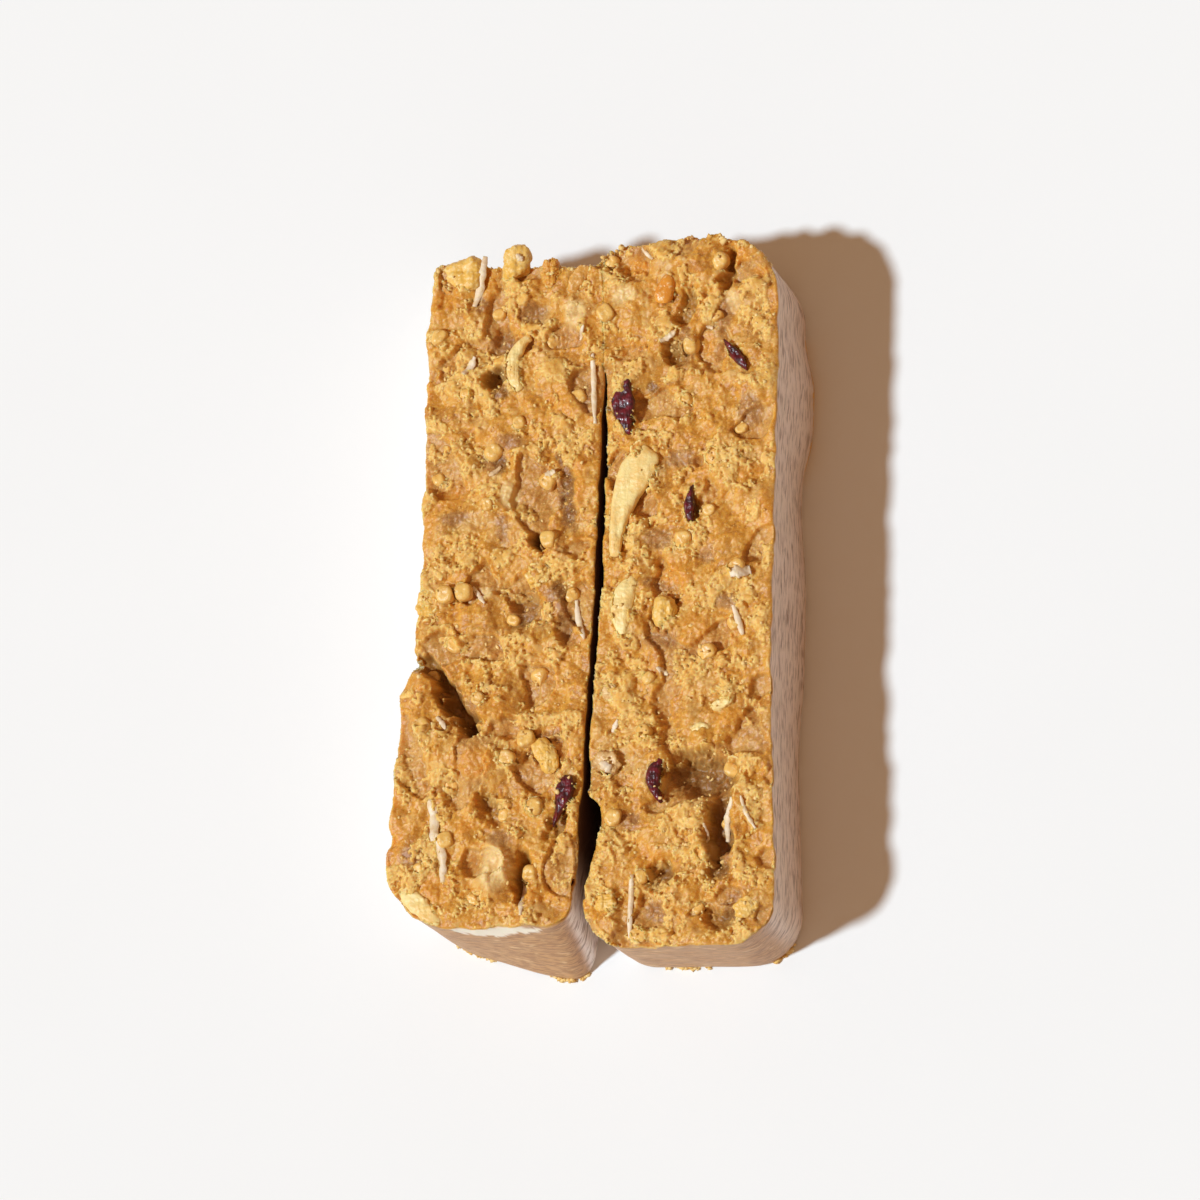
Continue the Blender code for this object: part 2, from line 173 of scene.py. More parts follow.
# Cleft between the crumb and the slab that stands out on the left limb
CLEFT_ROUTE = ((-22.2, -6.6), (-20.0, -8.8), (-18.2, -11.6), (-16.0, -15.0))
CLEFT_FLOOR = 0.4
CLEFT_REACH = 1.5
CLEFT_DEPTH = 4.2

# Lean of the skin, as on the solid
RIGHT_SKIN_X = 19.0
# Bulges of the right skin: middle and half length along it, and how far they stand out
BULGES = ((26.0, 8.0, 1.2), (-2.0, 14.0, 0.8))
END_LEAN = Vector((-0.9, -4.2))
END_LEAN_FROM_X = -25.0
END_LEAN_FULL_X = -5.0
END_LEAN_FROM_Y = -30.0
END_LEAN_FULL_Y = -39.5
SLIT_MOUTH_X = -2.6
SLIT_MOUTH_Y = -36.0
SLIT_HALF_ZONE = 3.5
# Where the right skin's upper edge is frayed down to the crumb
FRAYED_Y = 26.0
FRAYED_HALF = 9.0

# The skin: rings from the face to the table, its dents, and how far its top lies under the torn rim
SKIN_RINGS = 34
SKIN_DENT, SKIN_DENT_SIZE, SKIN_DENT_REACH = 0.1, 3.0, 2.0
SKIN_SINK, SKIN_TOP_ABOVE, SKIN_BEHIND = 0.35, 0.2, 0.1
RIM_FOLLOW_REACH = 1.2
LIP_REACH = 0.5
# Cream strip below the left limb's cut end: middle, half length, greatest depth, and where it ends
CREAM_X, CREAM_HALF, CREAM_DEPTH, CREAM_Y = -13.4, 5.8, 4.2, -37.0

# Loose crumbs: least radius, what a draw adds to it, and the draw's power; then those at foot and rim
LOOSE_RADIUS = (0.15, 0.27, 2.5)
COARSE_RADIUS = (0.15, 0.5, 2.0)
FOOT_CRUMBS = 130
RIM_CRUMBS = 90

# Nuts and other lumps: kind, x, y, rise of the centre, half length, half width, half height, turn in degrees
LUMPS = (
    ("honey", -17.0, 41.4, 0.0, 2.5, 2.1, 1.5, 5), ("honey", -10.5, 42.3, 0.1, 2.3, 1.9, 1.6, 80),
    ("crumb", -6.0, 41.0, -0.2, 1.9, 1.2, 1.1, 90), ("toasted", -2.8, 40.2, -0.5, 2.1, 1.1, 1.0, 53),
    ("honey", -8.0, 3.4, -0.7, 1.7, 1.3, 1.0, 20), ("honey", -21.8, 0.6, -0.9, 1.9, 1.4, 1.2, 90),
    ("honey", -6.8, -18.6, -0.2, 2.2, 1.3, 0.9, 120), ("cream", -21.9, -36.4, -0.6, 2.9, 1.3, 1.0, 142),
    ("amber", 8.1, 37.9, 0.2, 1.9, 1.2, 1.0, 80), ("honey", 7.9, -1.8, 0.0, 1.9, 1.5, 1.1, 80),
    ("beige", 0.9, -19.9, -0.1, 1.7, 1.4, 1.1, 0), ("honey", 0.5, -37.0, -0.3, 1.5, 1.4, 1.2, 0),
    ("honey", 17.8, -38.0, -0.2, 1.6, 1.3, 1.0, 20), ("beige", 1.0, -10.8, -0.2, 1.5, 0.8, 0.8, 100),
    ("cream", 12.2, -16.6, -0.5, 1.3, 1.2, 0.9, 0), ("cream", 14.9, -13.2, -0.2, 1.3, 0.6, 0.6, 25),
    ("grain", -6.3, 7.7, 0.1, 1.1, 1.1, 1.1, 0), ("grain", -16.8, 1.7, 0.2, 1.1, 1.1, 1.1, 0),
    ("grain", -19.1, 1.5, 0.2, 1.1, 1.1, 1.1, 0), ("grain", -9.0, -16.6, 0.2, 1.1, 1.1, 1.1, 0),
    ("grain", -8.0, -24.9, 0.2, 1.1, 1.1, 1.1, 0),
)

# Strips of nut and berry: kind, start, bend and end of the middle line, half widths along it, half height
STRIPS = (
    ("cream", (6.4, 18.2), (2.2, 13.2), (1.8, 5.2), (1.7, 2.2, 1.6, 1.0, 0.7), 0.95),
    ("cream", (-8.6, 33.0), (-12.6, 30.6), (-9.9, 26.4), (0.5, 0.8, 1.05, 0.9, 0.6), 0.85),
    ("cream", (4.3, 2.4), (1.6, -0.6), (3.2, -4.6), (0.8, 1.3, 1.35, 1.1, 0.7), 0.8),
    ("berry", (4.0, 28.2), (2.0, 24.6), (3.7, 20.2), (0.3, 0.6, 1.5, 1.1, 0.3), 0.8),
    ("berry", (15.2, 31.4), (16.6, 29.6), (18.5, 27.2), (0.2, 0.4, 0.7, 0.5, 0.2), 0.7),
    ("berry", (11.5, 13.6), (10.8, 11.2), (11.1, 8.7), (0.2, 0.4, 0.7, 0.5, 0.2), 0.7),
    ("berry", (-3.9, -21.2), (-4.4, -24.0), (-5.8, -27.4), (0.6, 1.2, 0.9, 0.4, 0.2), 0.8),
    ("berry", (7.5, -19.6), (5.4, -21.8), (7.6, -25.0), (0.4, 0.8, 0.9, 0.6, 0.3), 0.9),
)

# Patches of the crumb by kind: x, y, half length, half width and, if any, turn in degrees
PATCHES = {
    "flake": (
        (-7.8, 33.6, 2.4, 0.9, -25), (-13.5, 34.0, 0.8, 1.3), (-11.4, 37.1, 1.4, 0.8, 10),
        (-9.2, 37.4, 0.9, 0.6, 30), (-17.8, 36.9, 1.6, 0.6, -20), (-5.0, 28.8, 1.7, 1.2, -25),
        (-9.2, 30.2, 1.2, 0.9), (-12.9, 30.4, 0.9, 1.0, 45), (-19.2, 27.3, 2.6, 0.7),
        (-15.0, 26.2, 1.8, 1.1, 20), (-16.2, 23.9, 1.3, 0.9), (-11.0, 21.7, 1.4, 0.8),
        (-21.0, 22.6, 1.2, 0.9), (-5.8, 37.9, 1.0, 0.7), (-10.8, 39.4, 1.3, 1.0, 60),
        (-4.9, 22.0, 1.5, 0.8, -30), (-6.2, 25.5, 1.0, 1.6, 10), (-17.0, 30.6, 1.0, 2.0),
        (8.4, 43.0, 2.4, 1.5), (10.7, 39.6, 1.2, 1.4), (7.2, 34.5, 1.7, 1.3), (13.8, 35.2, 1.0, 2.0, -20),
        (17.6, 34.0, 0.8, 1.6), (19.8, 37.8, 1.6, 0.8, 30), (19.6, 26.2, 1.9, 1.0, 10),
        (8.4, 27.4, 1.6, 1.1), (13.2, 27.6, 1.3, 2.2), (17.4, 26.4, 1.6, 0.7), (9.0, 24.3, 1.9, 0.8),
        (12.0, 21.5, 2.6, 1.0, 10), (1.2, 28.6, 0.8, 2.2), (5.6, 20.0, 1.6, 1.0), (19.8, 31.5, 1.0, 2.2),
        (-16.3, 16.9, 1.9, 1.0, 35), (-8.6, 11.6, 2.6, 1.3, -15), (-9.6, 7.4, 2.6, 1.7, -20),
        (-11.8, 6.0, 1.5, 1.0), (-16.0, 5.4, 1.3, 1.0), (-9.8, 1.3, 1.3, 0.7), (-19.0, 4.6, 2.2, 0.8, 30),
        (-18.4, 8.6, 1.2, 1.0), (-14.0, 14.4, 1.4, 0.9), (-2.8, 4.6, 1.2, 0.7), (-18.6, -4.4, 1.8, 1.0),
        (-11.0, -4.6, 2.0, 1.0, 10), (-5.6, -6.6, 1.0, 0.9), (-21.2, 18.8, 0.8, 1.8), (-12.0, 2.0, 1.1, 0.8),
        (10.4, 15.1, 1.6, 1.1, 30), (6.0, 9.4, 2.6, 0.8, 20), (9.0, 6.4, 1.7, 1.0, -20),
        (16.0, 14.0, 1.1, 1.4), (15.2, 1.6, 1.8, 1.5, 30), (10.8, 0.2, 1.6, 0.9), (14.0, 9.3, 1.2, 1.3),
        (20.2, 14.2, 0.9, 1.0), (17.6, -0.2, 1.4, 1.0, 60), (3.4, 4.4, 1.6, 0.7), (19.8, 4.8, 1.2, 2.6),
        (5.4, -0.4, 1.3, 1.3), (-8.0, -14.2, 2.8, 1.0), (-11.0, -20.9, 0.7, 1.1), (-18.6, -24.0, 1.5, 2.0),
        (-12.6, -24.4, 1.6, 1.2), (-19.8, -14.4, 1.2, 1.0), (-4.6, -29.4, 1.4, 1.4),
        (-10.4, -37.0, 1.2, 1.6), (-4.0, -19.4, 1.0, 1.0), (-24.0, -22.0, 1.2, 2.2), (4.0, -9.8, 1.9, 1.3),
        (3.4, -12.8, 2.2, 1.1), (10.6, -10.0, 2.0, 1.1), (18.4, -14.4, 1.8, 2.2), (17.6, -8.2, 1.8, 1.1),
        (6.4, -17.6, 4.4, 1.2), (11.8, -26.2, 2.6, 2.2), (18.8, -25.6, 1.0, 2.6), (9.6, -31.0, 2.4, 1.0),
        (7.5, -32.6, 1.4, 0.7), (13.4, -35.4, 1.3, 1.0), (6.9, -35.2, 0.8, 0.6), (5.8, -40.6, 2.8, 1.0),
        (12.6, -41.2, 2.8, 0.8), (16.6, -31.6, 1.0, 2.0), (-15.4, -16.0, 3.0, 1.0, -8),
        (-12.6, -18.0, 0.8, 2.0),
    ),
    "amber": (
        (-19.6, 38.2, 2.4, 1.2), (-14.2, 40.2, 0.8, 2.2), (4.4, 41.4, 1.4, 1.2),
        (-15.2, -19.2, 2.8, 1.9, 20), (17.2, 42.0, 1.8, 0.9), (19.9, 39.6, 1.2, 0.8), (13.2, 31.4, 1.1, 1.6),
        (-21.2, 10.6, 0.9, 3.0), (-18.8, 13.6, 1.8, 1.6), (-4.4, 24.8, 0.7, 2.4, 20),
        (-6.3, 25.0, 0.6, 2.0, 30), (20.4, 10.4, 1.2, 2.8), (11.6, -3.6, 1.6, 2.0), (9.4, 2.8, 2.4, 1.6),
        (-22.0, -9.4, 2.4, 1.2), (-25.2, -27.0, 0.9, 4.4), (15.6, -14.8, 2.2, 1.3), (-16.6, -26.6, 1.6, 1.0),
        (-7.2, -35.6, 1.9, 1.4), (13.0, -39.6, 2.4, 0.9), (-20.8, -34.4, 1.6, 2.2, 40),
        (-2.6, 15.0, 0.8, 3.4), (17.8, 14.8, 1.8, 1.4), (-12.2, -12.0, 1.8, 1.6), (6.0, -31.4, 2.0, 1.2),
    ),
    "mauve": (
        (-8.5, 36.1, 1.9, 1.2), (-12.6, 32.8, 1.5, 1.2), (-1.9, 25.2, 0.9, 2.2), (-11.4, 20.2, 2.2, 1.2),
        (-13.4, 18.0, 1.7, 2.0), (-12.2, 9.2, 0.9, 1.9), (-4.4, 13.0, 1.2, 4.2, 8),
        (-4.4, -2.6, 1.0, 3.2, 10), (-9.4, -0.8, 2.0, 1.2), (6.9, 7.3, 2.2, 1.3), (6.8, 1.9, 1.9, 0.9, -20),
        (9.8, 17.2, 2.2, 1.0), (10.6, 31.0, 0.9, 3.2), (15.2, 34.6, 1.0, 2.4), (15.4, -0.8, 1.7, 0.9),
        (-14.8, 37.2, 1.2, 0.9), (-18.2, 11.0, 2.0, 0.9), (13.0, 4.9, 0.9, 1.3), (7.2, -5.2, 2.6, 1.2),
        (-6.0, 1.2, 1.2, 1.2), (18.2, 22.6, 1.6, 2.0), (-23.4, -30.4, 1.8, 1.4), (-12.4, -28.4, 1.8, 1.0),
        (-15.8, -13.0, 0.9, 1.8), (-6.6, -16.4, 2.4, 0.8), (11.8, -22.4, 4.4, 1.8, -20),
        (14.6, -29.2, 1.2, 5.2), (6.6, -38.0, 1.4, 1.2), (15.8, -36.8, 2.0, 0.8, 35), (3.4, -27.0, 1.6, 0.9),
    ),
    "bare": (
        (13.3, 41.2, 2.2, 3.0), (3.0, 36.4, 2.6, 2.6), (-15.6, -18.8, 3.0, 2.4),
    ),
    "pale": (
        (-3.1, 35.7, 2.2, 1.5, 100), (-12.8, -32.2, 3.3, 2.0, 85), (3.0, 37.6, 1.6, 1.2),
        (-11.4, 13.6, 1.2, 1.8), (-14.0, 1.6, 0.9, 0.9), (16.4, 36.2, 0.9, 1.3),
    ),
    # Brown: bare brown crumb, and where these patches lie in the hollows and the cleft, painted shade as well
    "brown": (
        (-4.1, 13.2, 4.2, 1.0, 97), (-5.0, 17.8, 0.6, 0.7), (-12.6, 17.6, 1.1, 1.5, 40),
        (-12.4, 26.2, 1.2, 1.0), (-5.0, 1.4, 0.9, 2.0, 20), (-10.0, -1.8, 1.6, 0.9, 20),
        (11.0, -21.4, 2.6, 1.2, -15), (14.6, -33.4, 1.2, 0.9), (7.8, -33.4, 1.2, 0.8),
        (15.4, -38.6, 1.6, 0.8, 30), (6.4, 26.0, 0.7, 1.0), (-17.6, -10.8, 0.8, 2.2, 30),
    ),
}
# How much each kind of patch favours or hinders the dry flakes
PATCH_PUSH = {"flake": 0.42, "amber": -0.35, "mauve": -0.25, "bare": -0.5, "pale": -0.5, "brown": -0.4}

# Round grains pressed into the crumb, spread by the same rule as on the solid
GRAIN_COUNT = 46
GRAIN_RADIUS = (0.85, 1.15)
GRAIN_RISE = -0.3
GRAIN_GAP = 0.6
GRAIN_RIM_MARGIN = 1.3
GRAIN_FIELD_LOW = Vector((-26.0, -42.0))
GRAIN_FIELD_SIZE = Vector((48.0, 86.0))
GRAIN_STRIDE = Vector((0.7548777, 0.5698403))

# Coconut slivers: start, end, width
SLIVERS = (
    ((-14.3, 43.4), (-15.7, 37.2), 1.0), ((-21.1, -23.4), (-20.4, -28.6), 1.3),
    ((-20.0, -27.6), (-19.3, -33.6), 1.0), ((-3.2, 0.4), (-2.0, -4.6), 0.7),
    ((16.3, -1.4), (17.4, -5.0), 0.9), ((4.0, -33.6), (3.4, -41.0), 0.65), ((16.2, 2.2), (18.5, 2.8), 1.7),
    ((-16.9, 28.7), (-15.7, 31.0), 0.8), ((-10.0, 43.0), (-9.3, 42.2), 0.7),
    ((-2.6, 32.4), (-1.8, 33.9), 0.4), ((7.6, 31.4), (9.4, 32.6), 0.8), ((-6.9, 15.9), (-5.6, 16.2), 0.8),
    ((-13.8, 16.0), (-12.4, 17.2), 0.6), ((-19.0, -15.0), (-19.9, -13.6), 0.6),
    ((15.0, -29.6), (16.0, -24.6), 0.8), ((-15.8, 2.4), (-14.2, 0.2), 0.6),
    ((12.8, -27.8), (12.9, -30.0), 0.4), ((6.6, 41.8), (5.0, 43.6), 0.5), ((-1.0, 30.6), (-0.6, 21.8), 0.7),
    ((17.2, -24.6), (19.0, -28.6), 0.5), ((1.5, -16.2), (2.2, -14.8), 0.6),
    ((0.3, -20.0), (1.8, -21.2), 1.1), ((-10.0, -33.6), (-9.6, -38.0), 0.7), ((7.0, -8.6), (8.2, -9.4), 0.6),
    ((13.0, 33.4), (13.8, 33.0), 0.5),
)

# A sliver's cross-section: share of its half width, and height
SLIVER_SECTION = ((-1.0, -0.08), (1.0, -0.14), (0.9, 0.06), (0.0, 0.12), (-0.9, 0.1))

# Meshes of the lumps by kind: fineness, unevenness, grit and snapped facets; and wrinkles of the strips
LUMP_FORMS = {
    "toasted": (5, 0.07, 0.2, 9), "cream": (5, 0.1, 0.25, 5), "beige": (5, 0.12, 0.35, 9),
    "honey": (5, 0.09, 0.3, 9), "crumb": (6, 0.1, 0.6, 9), "grain": (4, 0.05, 0.04, 3),
    "amber": (5, 0.04, 0.02, 3),
}
STRIP_WRINKLES = {"cream": 0.22, "berry": 0.3}
FACET_SHARPNESS = 14.0
BOXY = 2.6

# Waxy finishes: colour and hex of its shade, roughness, depth of glow, width of the shade's patches
FINISHES = {
    # Roasted and then snapped: a dull break that browned unevenly
    "toasted nut": ("toasted", "D29444", 0.42, 1.2, 2.4),
    # Blanched and split: pale and waxy, yellow where its oil came out
    "blanched nut": ("cream", "F2C06A", 0.4, 1.6, 2.0),
    # Soaked with syrup: smooth, darker and a little clear
    "soaked nut": ("beige", "CE9C5E", 0.35, 1.4, 1.8),
    # Crumb that set in syrup: it glows at its edges, with pale specks
    "syruped crumb": ("lit", "EFC470", 0.42, 1.6, 1.6),
    # Puffed and glazed: a thin, even sheen on each round grain
    "puffed grain": ("grain", "E4AA52", 0.3, 0.8, 1.1),
    # Seed in hard syrup: orange, with a sharp highlight
    "glossy seed": ("amber", "DE8A30", 0.2, 1.8, 1.8),
    # Shaved and dried: chalky white, browned at its torn edges
    "coconut": ("coconut", "E6C294", 0.45, 1.6, 1.2),
}


def linear(hex_colour):
    """An sRGB hex colour as the linear red, green and blue that Blender works in."""
    shares = [int(hex_colour[at:at + 2], 16) / 255.0 for at in (0, 2, 4)]
    return tuple(s / 12.92 if s <= 0.04045 else ((s + 0.055) / 1.055) ** 2.4 for s in shares)


def tint(name, description, hex_colour):
    return FloatVectorProperty(
        name=name, description=description, subtype="COLOR", size=3, min=0.0, max=1.0,
        default=linear(hex_colour),
    )


def length(name, description, millimetres):
    return FloatProperty(name=name, description=description, unit="LENGTH", default=millimetres * MM)


class BarSizes(bpy.types.PropertyGroup):
    """Sizes of the bar's crumb that a user would change."""
    cell: length("Cell", "Spacing of the torn face's mesh", 0.142)
    clump: length("Clump", "Width of the soaked grains under the flakes", 2.0)
    crumb: length("Crumb", "Width of a crumb", 1.0)
    grit: length("Grit", "Width of the finest crumbs that the mesh holds", 0.52)
    clump_rise: length("Clump rise", "How far soaked grains stand out", 0.21)
    crumb_rise: length("Crumb rise", "How much crumbs differ in height", 0.17)
    grit_rise: length("Grit rise", "How much the finest crumbs differ in height", 0.165)
    flake_rise: length("Flake rise", "Height of the ragged flakes of dry crumb", 0.36)
    skin: length("Skin", "Thickness of the pressed skin", 0.3)
    loose: IntProperty(name="Loose crumbs", description="Number of loose crumbs on the faces", default=2400)


class BarColours(bpy.types.PropertyGroup):
    """Colours of the bar that a user would change."""
    gold: tint("Gold", "Crumb bound with syrup", "DC9C3C")
    light: tint("Light", "Crumb's dry, pale edges", "EDC46C")
    dark: tint("Dark", "Crumb that is soaked with syrup", "C68332")
    paste: tint("Paste", "Smooth paste in the hollows", "C08E56")
    honey: tint("Honey", "Crumb and nut soaked clear with syrup", "DC9636")
    mauve: tint("Mauve", "Grains stained by the berries", "A8744A")
    pale: tint("Pale", "Soaked nut that lies bare in the crumb", "EECB8C")
    # Brown is the bare crumb's own colour and partly painted shade, since several of its patches fill hollows
    # of the face
    brown: tint("Brown", "Fruit paste that lies bare in the crumb", "8C5A2C")
    skin: tint("Skin", "Skin pressed smooth by the mould", "E6CCB8")
    cut: tint("Cut end", "Skin of the ends, where the bar was cut", "CB9A66")
    lit: tint("Clear crumb", "Lumps of crumb that light shines through", "EDB650")
    toasted: tint("Toasted nut", "Roasted nut pieces", "E6A850")
    cream: tint("Cream nut", "Blanched nut pieces", "FBDD94")
    beige: tint("Beige nut", "Nut pieces soaked with syrup", "E8BE82")
    berry: tint("Berry", "Dried berries", "781424")
    coconut: tint("Coconut", "Coconut slivers", "F6DFC2")
    grain: tint("Grain", "Round puffed grains", "F2C068")
    amber: tint("Amber", "Glossy seed", "EDA03C")


def hashed(ix, iy, seed):
    """Repeatable values from 0 to 1 for whole-number lattice places."""
    mixed = ix.astype(np.int64).astype(np.uint64) * np.uint64(SCATTER_X)
    mixed = mixed + iy.astype(np.int64).astype(np.uint64) * np.uint64(SCATTER_Y)
    mixed = (mixed + np.uint64(seed * SCATTER_SEED)) & np.uint64(WORD)
    for shift, factor in SCATTER_ROUNDS:
        mixed = ((mixed ^ (mixed >> np.uint64(shift))) * np.uint64(factor)) & np.uint64(WORD)
    mixed = (mixed ^ (mixed >> np.uint64(16))) & np.uint64(SHARE_BITS)
    return mixed.astype(float) / float(SHARE_BITS)


def smooth_step(low, high, value):
    t = np.clip((value - low) / (high - low), 0.0, 1.0)
    return t * t * (3.0 - 2.0 * t)


def drift(x, y, size, seed):
    """Smooth noise from -1 to 1 with forms of that size."""
    gx = np.asarray(x) / size
    gy = np.asarray(y) / size
    ix = np.floor(gx)
    iy = np.floor(gy)
    tx = smooth_step(0.0, 1.0, gx - ix)
    ty = smooth_step(0.0, 1.0, gy - iy)
    low = hashed(ix, iy, seed) * (1 - tx) + hashed(ix + 1, iy, seed) * tx
    high = hashed(ix, iy + 1, seed) * (1 - tx) + hashed(ix + 1, iy + 1, seed) * tx
    return 2.0 * (low * (1 - ty) + high * ty) - 1.0


def rough(x, y, size, seed, octaves=3):
    """Drift with finer and finer forms added, each turned a little and half as strong."""
    total = 0.0
    for octave in range(octaves):
        angle = 0.65 + 1.1 * octave
        turned_x = x * math.cos(angle) - y * math.sin(angle)
        turned_y = x * math.sin(angle) + y * math.cos(angle)
        total = total + drift(turned_x, turned_y, size / 2.1 ** octave, seed + 17 * octave) / 1.8 ** octave
    return total / 1.6


def cells(x, y, size, seed):
    """Uneven cells that fill the plane.

    Each place gets its distance from its cell's middle, its gap to the next cell,
    the cell's own random share, and how far it lies to that cell's raised side.
    """
    x = x + 0.35 * size * drift(x, y, 0.8 * size, seed + 1)
    y = y + 0.35 * size * drift(x, y, 0.8 * size, seed + 2)
    gx, gy = x / size, y / size
    nearest, second = (np.full(gx.shape, np.inf) for _ in range(2))
    pick, lean = (np.zeros(gx.shape) for _ in range(2))
    for step_x in (-1, 0, 1):
        for step_y in (-1, 0, 1):
            jx = np.floor(gx) + step_x
            jy = np.floor(gy) + step_y
            away_x = gx - jx - 0.15 - 0.7 * hashed(jx, jy, seed + 3)
            away_y = gy - jy - 0.15 - 0.7 * hashed(jx, jy, seed + 4)
            distance = np.hypot(away_x, away_y)
            closer = distance < nearest
            second = np.where(closer, nearest, np.minimum(second, distance))
            nearest = np.where(closer, distance, nearest)
            angle = 2.0 * math.pi * hashed(jx, jy, seed + 5)
            pick = np.where(closer, hashed(jx, jy, seed + 6), pick)
            lean = np.where(closer, away_x * np.cos(angle) + away_y * np.sin(angle), lean)
    return nearest, second - nearest, pick, lean


def block(cell):
    """Height of broken, slanting crumbs that fill the cells, about -1 to 1."""
    nearest, gap, pick, lean = cell
    groove = 1.0 - smooth_step(0.0, 0.2, gap)
    return pick - 0.5 + 0.7 * lean - 0.45 * nearest ** 2 - 0.2 * groove


def dome(cell):
    """Height of round grains in those cells whose share is high, 0 to 1."""
    nearest, _, pick, _ = cell
    return np.sqrt(np.clip(1.0 - (nearest / 0.6) ** 2, 0.0, 1.0)) * smooth_step(0.35, 0.5, pick)


def swell(x, y, size, layer):
    """Blender's own noise on a coarse lattice, read between its places, as the solid's relief has it."""
    pitch = size / 7.0
    low_x, low_y = x.min() - pitch, y.min() - pitch
    count_x = math.ceil((x.max() - low_x) / pitch) + 2
    count_y = math.ceil((y.max() - low_y) / pitch) + 2
    lattice = np.empty((count_x, count_y))
    for i in range(count_x):
        for j in range(count_y):
            place = Vector(((low_x + i * pitch) / size, (low_y + j * pitch) / size, layer))
            lattice[i, j] = NOISE_GAIN * noise.noise(place)
    return read_lattice(lattice, (x - low_x) / pitch, (y - low_y) / pitch)


def read_lattice(lattice, u, v):
    """Values of a lattice between its places, u and v being counted in steps."""
    u = np.clip(u, 0.0, lattice.shape[0] - 1.001)
    v = np.clip(v, 0.0, lattice.shape[1] - 1.001)
    i = np.floor(u).astype(int)
    j = np.floor(v).astype(int)
    du = u - i
    dv = v - j
    low = lattice[i, j] * (1 - du) + lattice[i + 1, j] * du
    high = lattice[i, j + 1] * (1 - du) + lattice[i + 1, j + 1] * du
    return low * (1 - dv) + high * dv


def oval_distance(x, y, middle_x, middle_y, half_length, half_width, turn=0.0):
    """Distance from the middle of a turned oval, 1 being its edge."""
    angle = math.radians(turn)
    along = (x - middle_x) * math.cos(angle) + (y - middle_y) * math.sin(angle)
    across = (y - middle_y) * math.cos(angle) - (x - middle_x) * math.sin(angle)
    return np.hypot(along / half_length, across / half_width)


def oval_falloff(x, y, *oval):
    """1 in the middle of a turned oval, falling to 0 a little outside its edge."""
    return 1.0 - smooth_step(0.45, 1.35, oval_distance(x, y, *oval))


def from_segment(x, y, start, end):
    """The way to each place from the nearest point between two others."""
    span_x, span_y = end[0] - start[0], end[1] - start[1]
    along = ((x - start[0]) * span_x + (y - start[1]) * span_y) / (span_x ** 2 + span_y ** 2)
    along = np.clip(along, 0.0, 1.0)
    return x - start[0] - along * span_x, y - start[1] - along * span_y


def distance_to_route(x, y, route):
    """Distance of each place from a route of straight lines."""
    ways = (from_segment(x, y, start, end) for start, end in zip(route, route[1:]))
    return functools.reduce(np.minimum, (np.hypot(*way) for way in ways))


def rounded_corner(before, corner, after, radius):
    """Points of the arc that rounds one corner of an outline."""
    corner = Vector(corner)
    to_before = (Vector(before) - corner).normalized()
    to_after = (Vector(after) - corner).normalized()
    half_angle = 0.5 * to_before.angle(to_after)
    if radius == 0.0 or half_angle > math.radians(89.0):
        return [corner]
    setback = radius / math.tan(half_angle)
    centre = corner + (to_before + to_after).normalized() * (radius / math.sin(half_angle))
    first = corner + to_before * setback - centre
    last = corner + to_after * setback - centre
    sweep = first.angle_signed(last)
    steps = max(2, math.ceil(abs(sweep) * radius / ARC_STEP))
    return [centre + Matrix.Rotation(-sweep * step / steps, 2) @ first for step in range(steps + 1)]


@functools.cache
def bar_outline():
    """Even steps round both limbs and the slit, starting at the slit's head, as an array of x and y."""
    corners = SLIT_HEAD + SLIT_RIGHT_WALL + RIGHT_SIDE + JOINED_END + LEFT_SIDE + SLIT_LEFT_WALL
    path = []
    for index, (x, y, radius) in enumerate(corners):
        before = corners[index - 1][:2]
        after = corners[(index + 1) % len(corners)][:2]
        path.extend(rounded_corner(before, (x, y), after, radius))
    path.append(path[0])
    path = np.array(path)
    walked = np.concatenate(([0.0], np.cumsum(np.hypot(*np.diff(path, axis=0).T))))
    marks = np.linspace(0.0, walked[-1], round(walked[-1] / OUTLINE_STEP) + 1)[:-1]
    return np.stack((np.interp(marks, walked, path[:, 0]), np.interp(marks, walked, path[:, 1])), axis=1)


def outward_normals(outline):
    """Unit way out of the outline at each of its points."""
    along = np.roll(outline, -1, axis=0) - np.roll(outline, 1, axis=0)
    length_along = np.maximum(np.hypot(*along.T), TINY)
    return np.stack((along[:, 1], -along[:, 0]), axis=1) / length_along[:, None]


def outline_distance(x, y, outline):
    """Distance from an outline, negative inside it, and the way out of it."""
    best = np.full(x.shape, np.inf)
    out_x, out_y = np.zeros(x.shape), np.zeros(x.shape)
    inside = np.zeros(x.shape, bool)
    for start, end in zip(outline, np.roll(outline, -1, axis=0)):
        away_x, away_y = from_segment(x, y, start, end)
        squared = away_x ** 2 + away_y ** 2
        closer = squared < best
        best = np.where(closer, squared, best)
        out_x = np.where(closer, away_x, out_x)
        out_y = np.where(closer, away_y, out_y)
        if start[1] != end[1]:
            crosses = (start[1] > y) != (end[1] > y)
            inside ^= crosses & (x < start[0] + (y - start[1]) * (end[0] - start[0]) / (end[1] - start[1]))
    distance = np.sqrt(best)
    sign = np.where(inside, -1.0, 1.0)
    scale = sign / np.maximum(distance, TINY)
    return sign * distance, out_x * scale, out_y * scale


def rim_wander(x, y):
    """How far the torn rim stands outside the skin below it; it keeps straight along the slit."""
    in_slit = (np.abs(x) < SLIT_HALF_ZONE) & (y > SLIT_MOUTH_Y) & (y < SLIT_HEAD[0][1] + 1.8)
    ragged = RIM_RAGGED * swell(x, y, RIM_SIZE, RIM_LAYER) + 0.1 * rough(x, y, 0.9, 71)
    ragged = ragged * (1.0 - CALM_RIM * smooth_step(*CALM_RIM_X, x))
    ragged = ragged * (1.0 + TORN_RIM * smooth_step(*TORN_RIM_Y, y))
    return np.where(in_slit, 0.0, ragged)


